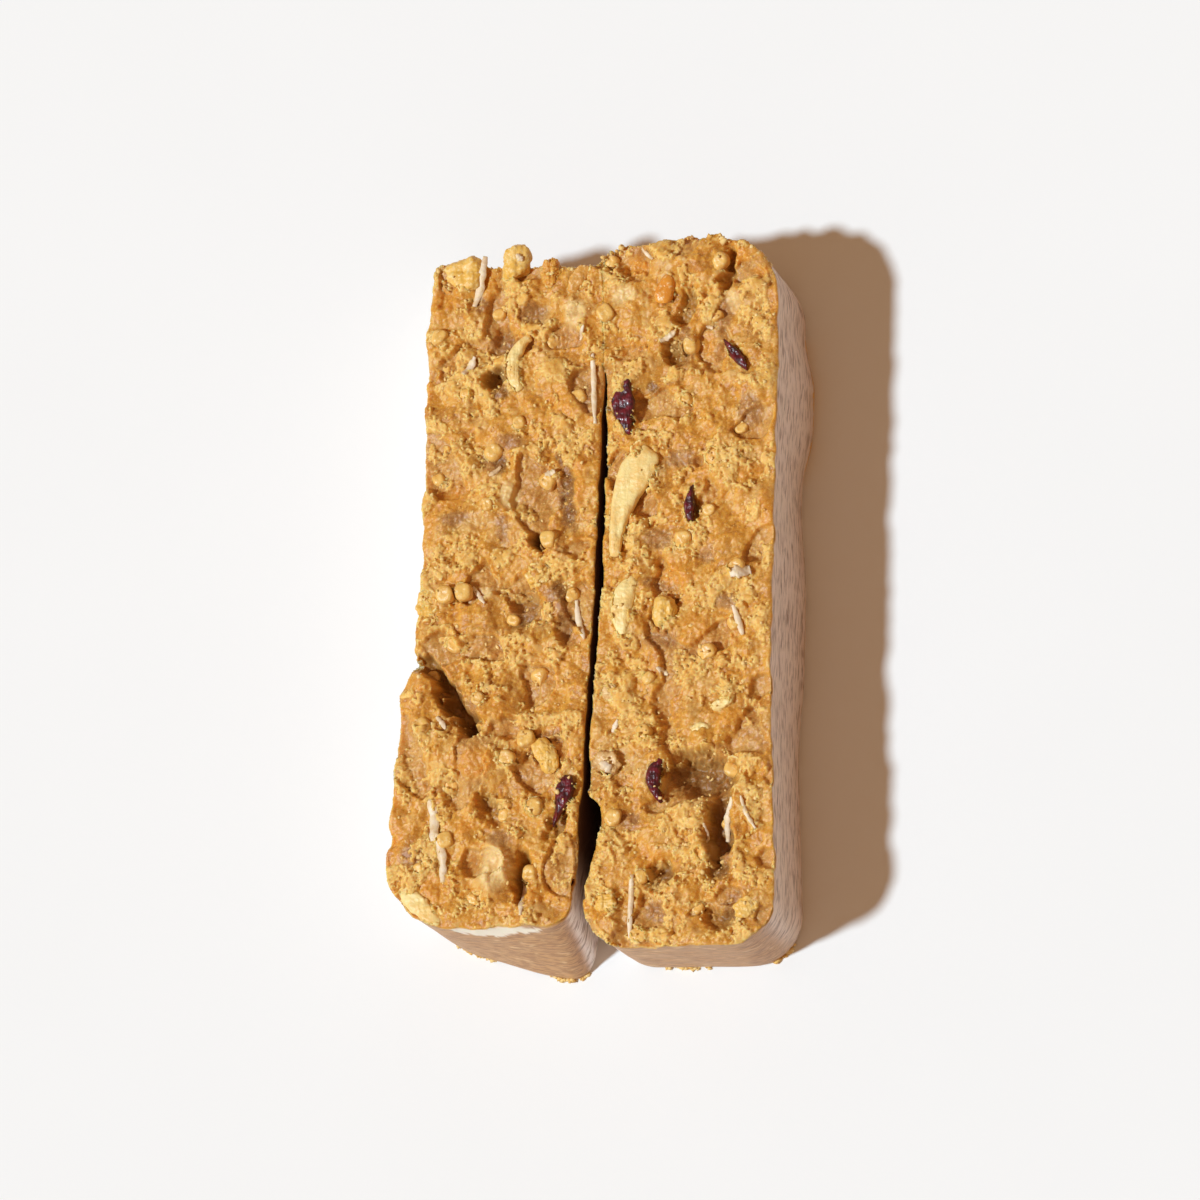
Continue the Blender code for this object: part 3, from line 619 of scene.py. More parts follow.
def base_relief(x, y):
    """Height of the torn face as the solid has it, its steps sharpened, with the share of paste."""
    height = FACE_HEIGHT + SWELL_HEIGHT * swell(x, y, SWELL_SIZE, SWELL_LAYER)
    height += CRAG_HEIGHT * swell(x, y, CRAG_SIZE, CRAG_LAYER)
    ragged = swell(x, y, PASTE_SIZE, PASTE_LAYER) + 0.16 * rough(x, y, 1.6, 31)
    paste = smooth_step(PASTE_EDGE - 0.06, PASTE_EDGE + 0.06, ragged)
    height -= PASTE_DEPTH * paste
    deep = np.zeros(x.shape)
    bent_x = x + PIT_BEND * rough(x, y, 1.8, 41, 4)
    bent_y = y + PIT_BEND * rough(x, y, 1.8, 43, 4)
    for *oval, depth in PITS:
        share = oval_falloff(bent_x, bent_y, *oval)
        height -= PIT_SHARE * depth * share
        deep = np.maximum(deep, share * depth)
    for *oval, rise in MOUNDS:
        height += rise * oval_falloff(x, y, *oval)
    cleft = 1.0 - smooth_step(CLEFT_FLOOR, CLEFT_REACH, distance_to_route(bent_x, bent_y, CLEFT_ROUTE))
    height -= CLEFT_DEPTH * cleft
    return height, paste, np.maximum(deep, CLEFT_DEPTH * cleft)


@functools.cache
def grain_places():
    """Middle and radius of each round grain, by the rule that spreads them on the solid."""
    shares = np.linspace(0.0, 1.0, STRIP_STATIONS)
    strips = [(strip_middles(*form[1:4], shares)[0], max(form[4])) for form in STRIPS]
    grains = []
    step = 0
    while len(grains) < GRAIN_COUNT:
        step += 1
        share = Vector((step * GRAIN_STRIDE.x % 1.0, step * GRAIN_STRIDE.y % 1.0))
        spot = GRAIN_FIELD_LOW + share * GRAIN_FIELD_SIZE
        radius = GRAIN_RADIUS[step % 2]
        clear = all((spot - Vector(lump[1:3])).length >= radius + lump[4] + GRAIN_GAP for lump in LUMPS)
        for middles, widest in strips:
            clear = clear and (np.hypot(*(middles - spot[:]).T) >= radius + widest).all()
        distance, _, _ = outline_distance(np.array([spot.x]), np.array([spot.y]), bar_outline())
        if clear and distance[0] < -GRAIN_RIM_MARGIN * radius:
            grains.append((spot, radius))
    return grains


@functools.cache
def lump_ovals():
    """Middle, half sizes and turn of every rounded nut and grain."""
    ovals = [(x, y, FACE_HEIGHT + rise, *form) for _, x, y, rise, *form in LUMPS]
    grains = grain_places()
    spots = np.array([spot[:] for spot, _ in grains])
    heights, _, _ = base_relief(*spots.T)
    for (spot, radius), height in zip(grains, heights):
        ovals.append((spot.x, spot.y, height + GRAIN_RISE * radius, radius, radius, radius, 0.0))
    return ovals


def strip_middles(start, bend, end, shares):
    """Places along the bent middle line of a strip, and the way it runs there."""
    start, bend, end = (np.array(place) for place in (start, bend, end))
    first = start + (bend - start) * shares[:, None]
    second = bend + (end - bend) * shares[:, None]
    return first + (second - first) * shares[:, None], second - first


def strip_widths(half_widths, shares):
    """Half width of a strip at each share of its length."""
    return np.interp(shares, np.linspace(0.0, 1.0, len(half_widths)), half_widths)


def lumps_near(x, y):
    """For every nut, berry and grain: the places round it, their distance from its middle, and its height."""
    for middle_x, middle_y, middle_z, long, wide, high, turn in lump_ovals():
        near = (np.abs(x - middle_x) < COLLAR_END * long) & (np.abs(y - middle_y) < COLLAR_END * long)
        yield near, oval_distance(x[near], y[near], middle_x, middle_y, long, wide, turn), middle_z, high
    shares = np.linspace(0.0, 1.0, STRIP_STATIONS)
    for _, start, bend, end, half_widths, high in STRIPS:
        middles, _ = strip_middles(start, bend, end, shares)
        reach = COLLAR_END * max(half_widths)
        low, top = middles.min(axis=0) - reach, middles.max(axis=0) + reach
        near = (x > low[0]) & (x < top[0]) & (y > low[1]) & (y < top[1])
        distance = np.full(np.count_nonzero(near), np.inf)
        for (middle_x, middle_y), width in zip(middles, strip_widths(half_widths, shares)):
            distance = np.minimum(distance, np.hypot(x[near] - middle_x, y[near] - middle_y) / width)
        yield near, distance, FACE_HEIGHT, high


def cap_height(distance, middle_z, high):
    """Height of a lump's upper side."""
    return middle_z + high * np.sqrt(np.clip(1.0 - distance ** 2, 0.0, 1.0))


def lump_tops(x, y):
    """Height of the highest nut, berry or grain over each place."""
    tops = np.zeros(x.shape)
    for near, distance, *cap in lumps_near(x, y):
        tops[near] = np.where(distance < 1.0, np.maximum(tops[near], cap_height(distance, *cap)), tops[near])
    return tops


def bed_lumps(x, y, height, ragged):
    """Ragged crumb that creeps up the sides of every nut, berry and grain."""
    covered = np.zeros(x.shape)
    for near, distance, *cap in lumps_near(x, y):
        creep = smooth_step(0.0, 0.12, ragged[near] + COVER_PULL * (distance - COVER_FROM))
        creep = creep * (1.0 - smooth_step(COLLAR_FROM, COLLAR_END, distance))
        height[near] += creep * np.maximum(cap_height(distance, *cap) + 0.05 - height[near], 0.0)
        covered[near] = np.maximum(covered[near], creep * (distance < 1.15))
    return height, covered


def patch_shares(x, y):
    """Share of each kind of patch at each place."""
    bent_x = x + PATCH_BEND * rough(x, y, 1.6, 611)
    bent_y = y + PATCH_BEND * rough(x, y, 1.6, 613)
    shares = {}
    for kind, ovals in PATCHES.items():
        share = shares[kind] = np.zeros(x.shape)
        for oval in ovals:
            reach = 1.5 * max(oval[2:4])
            near = (np.abs(x - oval[0]) < reach) & (np.abs(y - oval[1]) < reach)
            distance = oval_distance(bent_x[near], bent_y[near], *oval)
            share[near] = np.maximum(share[near], 1.0 - smooth_step(0.55, 1.25, distance))
    return shares


def torn_face(x, y, sizes):
    """Height of the torn face with its crumbs, and the shares that colour it."""
    height, paste, deep = base_relief(x, y)
    grain = cells(x, y, sizes.clump / MM, 101)
    bead = cells(x, y, sizes.crumb / MM, 211)
    grit = cells(x, y, sizes.grit / MM, 307)
    patches = patch_shares(x, y)
    push = sum(PATCH_PUSH[kind] * share for kind, share in patches.items())
    ragged = FLAKE_NOISE * rough(x, y, FLAKE_SIZE, 401, 5) + push - FLAKE_OFFSET
    ragged = ragged + FLAKE_GRIT * block(grit) + FLAKE_CRUMB * block(bead) - FLAKE_PASTE * paste
    height, covered = bed_lumps(x, y, height, ragged)
    flake = np.maximum(smooth_step(FLAKE_EDGE, FLAKE_EDGE + EDGE_SOFT, ragged), covered)
    second = smooth_step(SECOND_FLAKE_EDGE, SECOND_FLAKE_EDGE + EDGE_SOFT, ragged)
    beady = smooth_step(-0.1, 0.25, drift(x, y, 6.0, 421))
    height += sizes.clump_rise / MM * (dome(grain) - 0.4) * (1.0 - 0.6 * flake)
    beads = beady * (dome(bead) - 0.4) * (1.0 - flake) + 0.45 * block(bead) * flake
    height += sizes.crumb_rise / MM * beads
    height += sizes.grit_rise / MM * block(grit) * (1.0 - 0.45 * flake)
    height += sizes.flake_rise / MM * (flake - 0.45 + 0.7 * second)
    height += 0.09 * rough(x, y, 0.42, 431, 2)
    edge = flake * np.exp(-np.maximum(ragged - FLAKE_EDGE, 0.0) / 0.12)
    edge = np.maximum(edge, second * np.exp(-np.maximum(ragged - SECOND_FLAKE_EDGE, 0.0) / 0.15))
    bead_tone = np.where(beady * dome(bead) > dome(grain), bead[2], grain[2])
    tone = np.where(flake > 0.5, 0.5 * bead[2], 0.5 * bead_tone) + 0.5 * grit[2]
    # deep: how deep the hollows and the cleft go, which the crumb's finish paints as shade
    shares = {"tone": tone, "flake": flake, "edge": edge, "wet": paste, "deep": np.clip(deep / 4.0, 0.0, 1.0)}
    shares.update((kind, patches[kind]) for kind in ("amber", "mauve", "pale", "brown"))
    return height, shares


def to_frame(points):
    """Plan millimetres to the frame's metres."""
    points = np.asarray(points, float)
    return (points - np.array((PLAN_MIDDLE.x, PLAN_MIDDLE.y, 0.0))) * MM


def linked(name, data):
    """A new object of the scene from its data."""
    item = bpy.data.objects.new(name, data)
    bpy.context.scene.collection.objects.link(item)
    return item


def mesh_object(name, points, faces, shares):
    """A smooth mesh object from plan millimetres, with a named share for each of its points."""
    data = bpy.data.meshes.new(name)
    data.from_pydata(to_frame(points).tolist(), [], faces)
    for share_name, values in shares.items():
        attribute = data.attributes.new(share_name, "FLOAT", "POINT")
        attribute.data.foreach_set("value", np.asarray(values, np.float32))
    data.validate()
    data.shade_smooth()
    return linked(name, data)


def settle(item, material):
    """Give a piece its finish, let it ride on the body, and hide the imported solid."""
    item.data.materials.append(material)
    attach(item, BODY)
    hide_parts(NODE)


def add(tree, kind, inputs=None, **settings):
    """A shader node with its settings, each input a value or another node's output."""
    node = tree.nodes.new(kind)
    for name, value in settings.items():
        setattr(node, name, value)
    for socket, value in (inputs or {}).items():
        if isinstance(value, bpy.types.NodeSocket):
            tree.links.new(value, node.inputs[socket])
        else:
            node.inputs[socket].default_value = value
    return node


def new_material(name, roughness, ior, subsurface, glow_depth):
    """A Principled material with light that soaks a little way in; its shader, and places on the piece."""
    material = bpy.data.materials.new(name)
    material.use_nodes = True
    tree = material.node_tree
    shader = tree.nodes["Principled BSDF"]
    looks = {
        "Roughness": roughness, "IOR": ior, "Subsurface Weight": subsurface,
        "Subsurface Scale": glow_depth * MM, "Subsurface Radius": GLOW_RGB,
    }
    for socket, value in looks.items():
        shader.inputs[socket].default_value = value
    return material, tree, shader, add(tree, "ShaderNodeTexCoord").outputs["Object"]


def paint(tone):
    """A shader's colour from a hex string or three linear values; an output stays as it is."""
    if isinstance(tone, bpy.types.NodeSocket):
        return tone
    return (*(linear(tone) if isinstance(tone, str) else tone), 1.0)


def mix(tree, share, first, second):
    """Output of two colours mixed by a share."""
    inputs = {0: share, 6: paint(first), 7: paint(second)}
    return add(tree, "ShaderNodeMix", inputs, data_type="RGBA").outputs[2]


def grain_noise(tree, place, millimetres, detail, squeeze=None):
    """Noise output whose forms are that many millimetres wide, or squeezed along some axes."""
    if squeeze:
        place = add(tree, "ShaderNodeMapping", {"Vector": place, "Scale": squeeze}).outputs["Vector"]
    inputs = {"Vector": place, "Scale": 1.0 / (millimetres * MM), "Detail": detail}
    return add(tree, "ShaderNodeTexNoise", inputs).outputs["Fac"]


def read_shares(tree, *kinds):
    """Outputs of the shares that a mesh keeps at its points, by kind."""
    return {kind: add(tree, "ShaderNodeAttribute", attribute_name=kind).outputs["Fac"] for kind in kinds}


def reckon(tree, operation, *values):
    """Output of a sum or a product."""
    return add(tree, "ShaderNodeMath", dict(enumerate(values)), operation=operation).outputs[0]


def stretch(tree, value, low, high, out_low=0.0, out_high=1.0):
    """Output that runs from one end to the other while a value does so."""
    inputs = {"Value": value, "From Min": low, "From Max": high, "To Min": out_low, "To Max": out_high}
    return add(tree, "ShaderNodeMapRange", inputs).outputs["Result"]


def overlay(tree, base, *layers):
    """A base with layers on it, each given by a value, the ends of its rise, the most of it, and a colour."""
    for value, low, high, most, tone in layers:
        base = mix(tree, stretch(tree, value, low, high, 0.0, most), base, tone)
    return base


def finish_material(tree, shader, base, relief, strength, millimetres):
    """Join a colour and a fine relief of that depth to the shader."""
    inputs = {"Height": relief, "Strength": strength, "Distance": millimetres * MM}
    tree.links.new(add(tree, "ShaderNodeBump", inputs).outputs["Normal"], shader.inputs["Normal"])
    tree.links.new(base, shader.inputs["Base Color"])


def crumb_material(colours, name, subsurface):
    """Toasted oat and nut crumb bound with syrup and torn by hand: soft and mottled, with pale dry flakes, a
    painted sparkle, and painted shade in its deep hollows.
    """
    material, tree, shader, place = new_material(name, 0.55, 1.45, subsurface, 0.8)
    share = read_shares(tree, "tone", "flake", "edge", "wet", "deep", "amber", "mauve", "pale", "brown")
    speck = grain_noise(tree, place, 0.45, 3.0)
    mottled = reckon(tree, "MULTIPLY_ADD", grain_noise(tree, place, 3.4, 4.0), 1.3, share["tone"])
    # Soaked crumb: patches of syrup, stains of fruit, then specks of dry crumb and a painted sparkle
    base = overlay(
        tree, mix(tree, stretch(tree, mottled, 0.75, 1.15), colours.dark, colours.gold),
        (mottled, 1.2, 1.6, 0.8, "E6BA73"), (grain_noise(tree, place, 6.0, 3.0), 0.53, 0.7, 0.4, "B88850"),
        (share["wet"], 0.0, 1.0, 0.5, colours.paste), (share["mauve"], 0.0, 1.0, 0.7, colours.mauve),
        (share["amber"], 0.0, 1.0, 0.8, colours.honey), (share["pale"], 0.0, 1.0, 0.9, colours.pale),
        # Brown patches: the crumb's own brown, and painted shade where they fill hollows
        (share["brown"], 0.0, 1.0, 0.85, colours.brown), (speck, 0.55, 0.75, 0.4, colours.light),
        # Painted sparkle: the finest pale points stand in for highlights on the sugary crumb
        (grain_noise(tree, place, 0.2, 2.0), 0.57, 0.67, 0.4, "F6D48E"),
    )
    # Dry flakes: paler towards their broken edges
    dry = overlay(
        tree, mix(tree, stretch(tree, speck, 0.35, 0.7, 0.15, 0.8), colours.gold, colours.light),
        (share["tone"], 0.4, 0.0, 0.35, colours.dark), (share["edge"], 0.1, 0.9, 0.8, "F8DA98"),
    )
    base = mix(tree, share["flake"], base, dry)
    # Painted shade: the deep hollows and the cleft are darkened towards brown
    base = overlay(tree, base, (share["deep"], 0.15, 0.65, 0.75, "94642F"))
    finish_material(tree, shader, base, grain_noise(tree, place, 0.24, 4.0), 0.38, 0.14)
    tree.links.new(stretch(tree, share["flake"], 0.0, 1.0, 0.42, 0.7), shader.inputs["Roughness"])
    return material


def skin_material(colours):
    """Skin that the mould pressed smooth: dusty mauve, golden where the ends were cut, with painted shade in
    its pits and in the narrow slit.
    """
    material, tree, shader, place = new_material("pressed oat skin", 0.5, 1.45, 0.25, 0.6)
    share = read_shares(tree, "cut", "lip", "inner", "cream", "slit")
    lines = grain_noise(tree, place, 0.65, 5.0, (0.5, 0.32, 1.2))
    pits = grain_noise(tree, place, 1.0, 5.0, (0.5, 0.32, 1.2))
    layers = grain_noise(tree, place, 0.5, 6.0, (0.3, 1.0, 1.8))
    base = mix(tree, share["inner"], mix(tree, share["cut"], colours.skin, colours.cut), "FFF4EE")
    base = overlay(
        tree, base, (lines, 0.48, 0.64, 0.7, "9A7660"),
        (grain_noise(tree, place, 4.0, 4.0), 0.52, 0.68, 0.5, "DCC4AE"),
    )
    ends = overlay(tree, colours.cut, (layers, 0.45, 0.57, 0.85, "A67446"), (pits, 0.42, 0.3, 0.7, "E6C290"))
    base = mix(tree, share["cut"], base, ends)
    # Painted shade: the small pits, sunk in the relief below, are darkened, less so on the cut ends
    held = stretch(tree, share["cut"], 0.0, 1.0, 1.0, 0.25)
    pitted = reckon(tree, "MULTIPLY", stretch(tree, pits, 0.6, 0.67, 0.0, 0.7), held)
    base = mix(tree, pitted, base, "84604C")
    # Cream strip and crumb at the lip are the skin's own colours; the slit's dark brown is painted shade
    for kind, tone in (("cream", "FFF2DC"), ("slit", "6A4630"), ("lip", "DDA65A")):
        base = mix(tree, share[kind], base, tone)
    relief = mix(tree, pitted, mix(tree, share["cut"], lines, layers), "000000")
    finish_material(tree, shader, base, relief, 0.5, 0.15)
    return material


def waxy_material(name, colours):
    """Nut, grain or flake: waxy, a little translucent, darker in patches; FINISHES says how each was made."""
    tone, shade, roughness, glow, patch = FINISHES[name]
    material, tree, shader, place = new_material(name, roughness, 1.46, 0.12, 0.3 * glow)
    fine = grain_noise(tree, place, 0.4, 4.0)
    base = overlay(
        tree, getattr(colours, tone), (grain_noise(tree, place, patch, 4.0), 0.42, 0.66, 1.0, shade),
        (fine, 0.53, 0.68, 0.55, "F8E0A8"),
    )
    finish_material(tree, shader, base, fine, 0.6, 0.16)
    return material


def berry_material(colours):
    """Dried berry, sticky with its own sugar: near black in the folds, as painted shade, and deep red where
    light comes through.
    """
    material, tree, shader, place = new_material("dried berry", 0.4, 1.48, 0.05, 0.4)
    folds = grain_noise(tree, place, 0.8, 5.0)
    # Painted shade: the folds of the relief are near black, the raised wrinkles deep red
    base = overlay(tree, "3E0A14", (folds, 0.4, 0.65, 1.0, colours.berry))
    finish_material(tree, shader, base, folds, 0.7, 0.3)
    shader.inputs["Coat Weight"].default_value = 0.25
    shader.inputs["Coat Roughness"].default_value = 0.15
    return material


def paper_material():
    """White paper sweep, matt and rolled smooth: it takes the shadow and shows only the faintest clouds."""
    material, tree, shader, place = new_material("white paper sweep", 0.9, 1.45, 0.0, 1.0)
    base = mix(tree, grain_noise(tree, place, 30.0, 2.0), "F4F3F2", "F6F5F4")
    tree.links.new(base, shader.inputs["Base Color"])
    return material


def rims_of(faces):
    """Closed loops of points round a patch of faces, each in the order of its faces' edges."""
    starts, ends = (corners.ravel().astype(np.int64) for corners in (faces, np.roll(faces, -1, axis=1)))
    open_edges = ~np.isin(starts * EDGE_KEY + ends, ends * EDGE_KEY + starts)
    follow = dict(zip(starts[open_edges].tolist(), ends[open_edges].tolist()))
    loops = []
    while follow:
        first, current = follow.popitem()
        loop = [first]
        while current != first and current in follow:
            loop.append(current)
            current = follow.pop(current)
        loops.append(loop)
    return loops


def corners_of(grid):
    """The four corners of each square of a grid."""
    return grid[:-1, :-1], grid[1:, :-1], grid[1:, 1:], grid[:-1, 1:]


def crumb_half(name, keep, x, y, height, shares, out, skin):
    """One half of the torn crumb: its face, a short skirt behind the skin and a flat underside."""
    faces = np.stack(corners_of(np.arange(x.size).reshape(x.shape)), axis=-1).reshape(-1, 4)[keep.ravel()]
    used, packed = np.unique(faces, return_inverse=True)
    faces = packed.reshape(faces.shape)
    points = np.stack([grid.ravel()[used] for grid in (x, y, height)], axis=1)
    loop = max(rims_of(faces), key=len)
    rim = points[loop]
    out_x, out_y, near_rim = (grid.ravel()[used][loop] for grid in out)
    inward = -np.stack((out_x, out_y), axis=1) * near_rim[:, None]
    wander = np.maximum(rim_wander(*rim[:, :2].T), 0.0)
    steep, low = SKIRT_DROPS
    rings = [points]
    walls = []
    above = np.array(loop)
    for follow, level in (
        (0.0, rim[:, 2] - steep), (1.0, np.minimum(rim[:, 2], FACE_HEIGHT) - low), (1.0, SLAB_FLOOR),
    ):
        ring = rim.copy()
        ring[:, :2] += (skin + SKIRT_GAP + follow * wander)[:, None] * inward
        ring[:, 2] = level
        below = sum(map(len, rings)) + np.arange(len(loop))
        walls.extend(np.stack((np.roll(above, -1), above, below, np.roll(below, -1)), axis=1).tolist())
        rings.append(ring)
        above = below
    walls.append(above.tolist())
    all_shares = {}
    for kind, values in shares.items():
        own = values.ravel()[used]
        all_shares[kind] = np.concatenate((own, np.tile(own[loop], len(rings) - 1)))
    return mesh_object(name, np.concatenate(rings), faces.tolist() + walls, all_shares)


def outline_box():
    """Least and greatest corner of the outline."""
    return bar_outline().min(axis=0), bar_outline().max(axis=0)


def face_lattice(cell):
    """Places of the torn face's mesh, with their distance from the outline and the way out of it."""
    across, along = (np.arange(low - 4 * cell, high + 5 * cell, cell) for low, high in zip(*outline_box()))
    x, y = np.meshgrid(across, along, indexing="ij")
    distance, out_x, out_y = outline_distance(x, y, bar_outline()[::2])
    return x, y, distance - rim_wander(x, y), out_x, out_y


class BAR_OT_crumb(bpy.types.Operator):
    """Add the torn crumb of both halves"""
    bl_idname = "bar.crumb"
    bl_label = "Torn crumb"

    def execute(self, context):
        sizes = context.scene.bar_sizes
        cell = sizes.cell / MM
        x, y, distance, out_x, out_y = face_lattice(cell)
        square = np.logical_and.reduce(corners_of(distance < 0.5 * cell))
        near_rim = np.abs(distance) < 0.5 * cell
        x = np.where(near_rim, x - out_x * distance, x)
        y = np.where(near_rim, y - out_y * distance, y)
        height, shares = torn_face(x, y, sizes)
        inward = np.minimum(distance, 0.0)
        level_rim = RIM_LEVEL * np.exp(inward / RIM_LEVEL_REACH) * (height < FACE_HEIGHT + RIM_LEVEL_BELOW)
        height = height + level_rim * (FACE_HEIGHT - height) * (np.abs(x) > SLIT_HALF_ZONE)
        height = height - RIM_ROUND * np.exp(inward / RIM_ROUND_REACH)
        middle_x, middle_y = (0.25 * sum(corners_of(grid)) for grid in (x, y))
        left = middle_x < np.interp(middle_y, PARTING_Y, PARTING_X)
        out = (out_x, out_y, (distance > -2.5 * cell).astype(float))
        material = crumb_material(context.scene.bar_colours, "torn oat crumb", 0.75)
        for name, half in (("crumb_left", left), ("crumb_right", ~left)):
            item = crumb_half(name, square & half, x, y, height, shares, out, sizes.skin / MM)
            settle(item, material)
        return {"FINISHED"}


def skin_lean(points, level):
    """How far the skin leans out of the face outline, level being 1 at the face and 0 at the table."""
    x, y = points.T
    lean = np.zeros(points.shape)
    for middle_y, half_length, reach in BULGES:
        share = 1.0 - smooth_step(0.3, 1.2, np.abs(y - middle_y) / half_length)
        lean[:, 0] += reach * share * (x > RIGHT_SKIN_X)
    share = smooth_step(END_LEAN_FROM_X, END_LEAN_FULL_X, x)
    share = share * smooth_step(-END_LEAN_FROM_Y, -END_LEAN_FULL_Y, -y) * (x < SLIT_MOUTH_X)
    lean += np.array(END_LEAN) * share[:, None]
    return lean * np.clip(1.0 - level, 0.0, 1.0) ** 1.2


class BAR_OT_skin(bpy.types.Operator):
    """Add the smooth skin round the sides and underneath"""
    bl_idname = "bar.skin"
    bl_label = "Pressed skin"

    def execute(self, context):
        sizes = context.scene.bar_sizes
        outline = bar_outline()
        count = len(outline)
        normals = outward_normals(outline)
        wander = rim_wander(*outline.T)
        rim = outline + normals * wander[:, None]
        top, _ = torn_face(*(rim - 0.3 * normals).T, sizes)
        top = np.minimum(top - SKIN_SINK, FACE_HEIGHT + SKIN_TOP_ABOVE)
        rings = []
        lips = []
        for step in range(SKIN_RINGS + 1):
            height = top * (1.0 - (step / SKIN_RINGS) ** 0.9)
            down = top - height
            inset = np.zeros(count)
            low = height < BASE_ROUND
            inset[low] = BASE_INSET * (1.0 - np.sqrt(1.0 - (1.0 - height[low] / BASE_ROUND) ** 2))
            dent = SKIN_DENT * rough(outline[:, 0] + outline[:, 1], height, SKIN_DENT_SIZE, 601)
            for away in (down, height):
                dent = dent * np.clip(away / SKIN_DENT_REACH, 0.0, 1.0)
            place = outline + skin_lean(outline, (height / FACE_HEIGHT)[:, None])
            outward = wander * np.exp(-down / RIM_FOLLOW_REACH) - inset + dent - SKIN_BEHIND
            rings.append(np.column_stack((place + normals * outward[:, None], height)))
            lips.append(np.clip(1.0 - down / LIP_REACH, 0.0, 1.0))
        inner_wall = outline - normals * (sizes.skin / MM + 0.1)
        rings = [
            np.column_stack((inner_wall, np.full(count, SLAB_FLOOR - 0.5))),
            np.column_stack((inner_wall, top - 2.0)),
            np.column_stack((rings[0][:, :2] - normals * sizes.skin / MM, top - 0.1)),
        ] + rings
        lips = np.concatenate([lips[0]] * 3 + lips)
        faces = []
        last = count * (len(rings) - 1)
        for first in range(0, last, count):
            for index in range(count):
                here, after = first + index, first + (index + 1) % count
                faces.append((here, here + count, after + count, after))
        faces += [tuple(range(count)), tuple(reversed(range(last, last + count)))]

        points = np.concatenate(rings)
        x, y, z = points.T
        cut = smooth_step(0.5, 0.9, np.abs(normals[:, 1])) * (np.abs(outline[:, 0]) > 0.5)
        inner = smooth_step(0.6, 0.9, normals[:, 0]) * (outline[:, 0] < 0.0)
        inner = inner * smooth_step(33.0, 37.0, -outline[:, 1])
        # slit: the skin's walls in the narrow slit, which get painted shade
        slit = (np.abs(outline[:, 0]) < SLIT_HALF_ZONE) * smooth_step(-36.0, -29.0, outline[:, 1])
        slit = slit * (outline[:, 1] < SLIT_HEAD[0][1] + 1.0)
        frayed = smooth_step(0.0, 0.15, rough(y, z, 2.6, 621, 4) + 0.9 - z / 1.4)
        frayed = frayed * (x > RIGHT_SKIN_X) * (np.abs(y - FRAYED_Y) < FRAYED_HALF)
        below = FACE_HEIGHT - z + 1.6 * rough(x, 0.4 * z, 1.6, 631, 4)
        reach = CREAM_DEPTH * np.sqrt(np.clip(1.0 - ((x - CREAM_X) / CREAM_HALF) ** 2, 0.0, 1.0))
        cream = smooth_step(0.6, 1.0, below) * (1.0 - smooth_step(0.0, 0.3, below - reach)) * (y < CREAM_Y)
        cut, inner, slit = (np.tile(values, len(rings)) for values in (cut, inner, slit))
        shares = {"lip": np.maximum(lips, frayed), "cut": cut, "inner": inner, "cream": cream, "slit": slit}
        item = mesh_object("pressed_skin", points, faces, shares)
        settle(item, skin_material(context.scene.bar_colours))
        return {"FINISHED"}


@functools.cache
def ball(fineness):
    """Points on a ball of radius 1, and its triangles."""
    mesh = bmesh.new()
    bmesh.ops.create_icosphere(mesh, subdivisions=fineness, radius=1.0)
    points = np.array([vert.co[:] for vert in mesh.verts])
    faces = np.array([[vert.index for vert in face.verts] for face in mesh.faces])
    mesh.free()
    return points, faces


def rough_3d(points, size, seed, octaves=3):
    """Rough noise over the surface of a form, from three flat ones."""
    x, y, z = points.T
    total = rough(x, y, size, seed, octaves) + rough(y, z, size, seed + 5, octaves)
    return (total + rough(z, x, size, seed + 9, octaves)) / 1.8


def broken(fineness, seed, facets):
    """A boxy ball of radius 1 whose sides were snapped off along soft-edged facets."""
    points, faces = ball(fineness)
    draw = np.random.default_rng(seed)
    total = np.ones(len(points))
    for facet in range(facets):
        normal = draw.normal(size=3)
        normal /= np.linalg.norm(normal)
        if facet == 0:
            normal = np.array((0.12 * normal[0], 0.12 * normal[1], 1.0))
        facing = np.clip(points @ normal, 0.0, None)
        total = total + (facing / draw.uniform(0.66, 0.92)) ** FACET_SHARPNESS
    squared = (np.abs(points) ** BOXY).sum(axis=1) ** (-1.0 / BOXY)
    return points * (squared * total ** (-1.0 / FACET_SHARPNESS))[:, None], faces


def place_lump(points, half_sizes, turn, middle, seed, uneven, grit):
    """Stretch, turn and place a lump, with swellings and grit on it, in plan millimetres."""
    swollen = 1.0 + uneven * rough_3d(points + 7.3 * seed, 1.1, seed, 2)
    points = points * swollen[:, None] * np.array(half_sizes)
    cosine, sine = math.cos(math.radians(turn)), math.sin(math.radians(turn))
    points = points @ np.array(((cosine, -sine, 0.0), (sine, cosine, 0.0), (0.0, 0.0, 1.0))).T
    way = points / np.linalg.norm(points, axis=1)[:, None]
    points = points + np.array(middle)
    return points + way * (grit * rough_3d(points, 0.6, seed + 40, 4))[:, None]


def strip(start, bend, end, half_widths, half_height, seed, wrinkle):
    """A bent strip of nut or berry, flattened on top, with wrinkles."""
    points, faces = broken(6, seed, 3)
    shares = 0.5 * (points[:, 0] + 1.0)
    middles, along = strip_middles(start, bend, end, shares)
    along = along / np.hypot(*along.T)[:, None]
    side = np.stack((-along[:, 1], along[:, 0]), axis=1)
    blunt = np.clip(1.0 - points[:, 0] ** 2, 0.02, 1.0) ** -0.25
    across = points[:, 1] * blunt * strip_widths(half_widths, shares)
    up = FACE_HEIGHT + half_height * points[:, 2]
    placed = np.column_stack((middles + side * across[:, None], up))
    return placed + points * (wrinkle * rough_3d(placed, 0.9, seed, 4))[:, None], faces


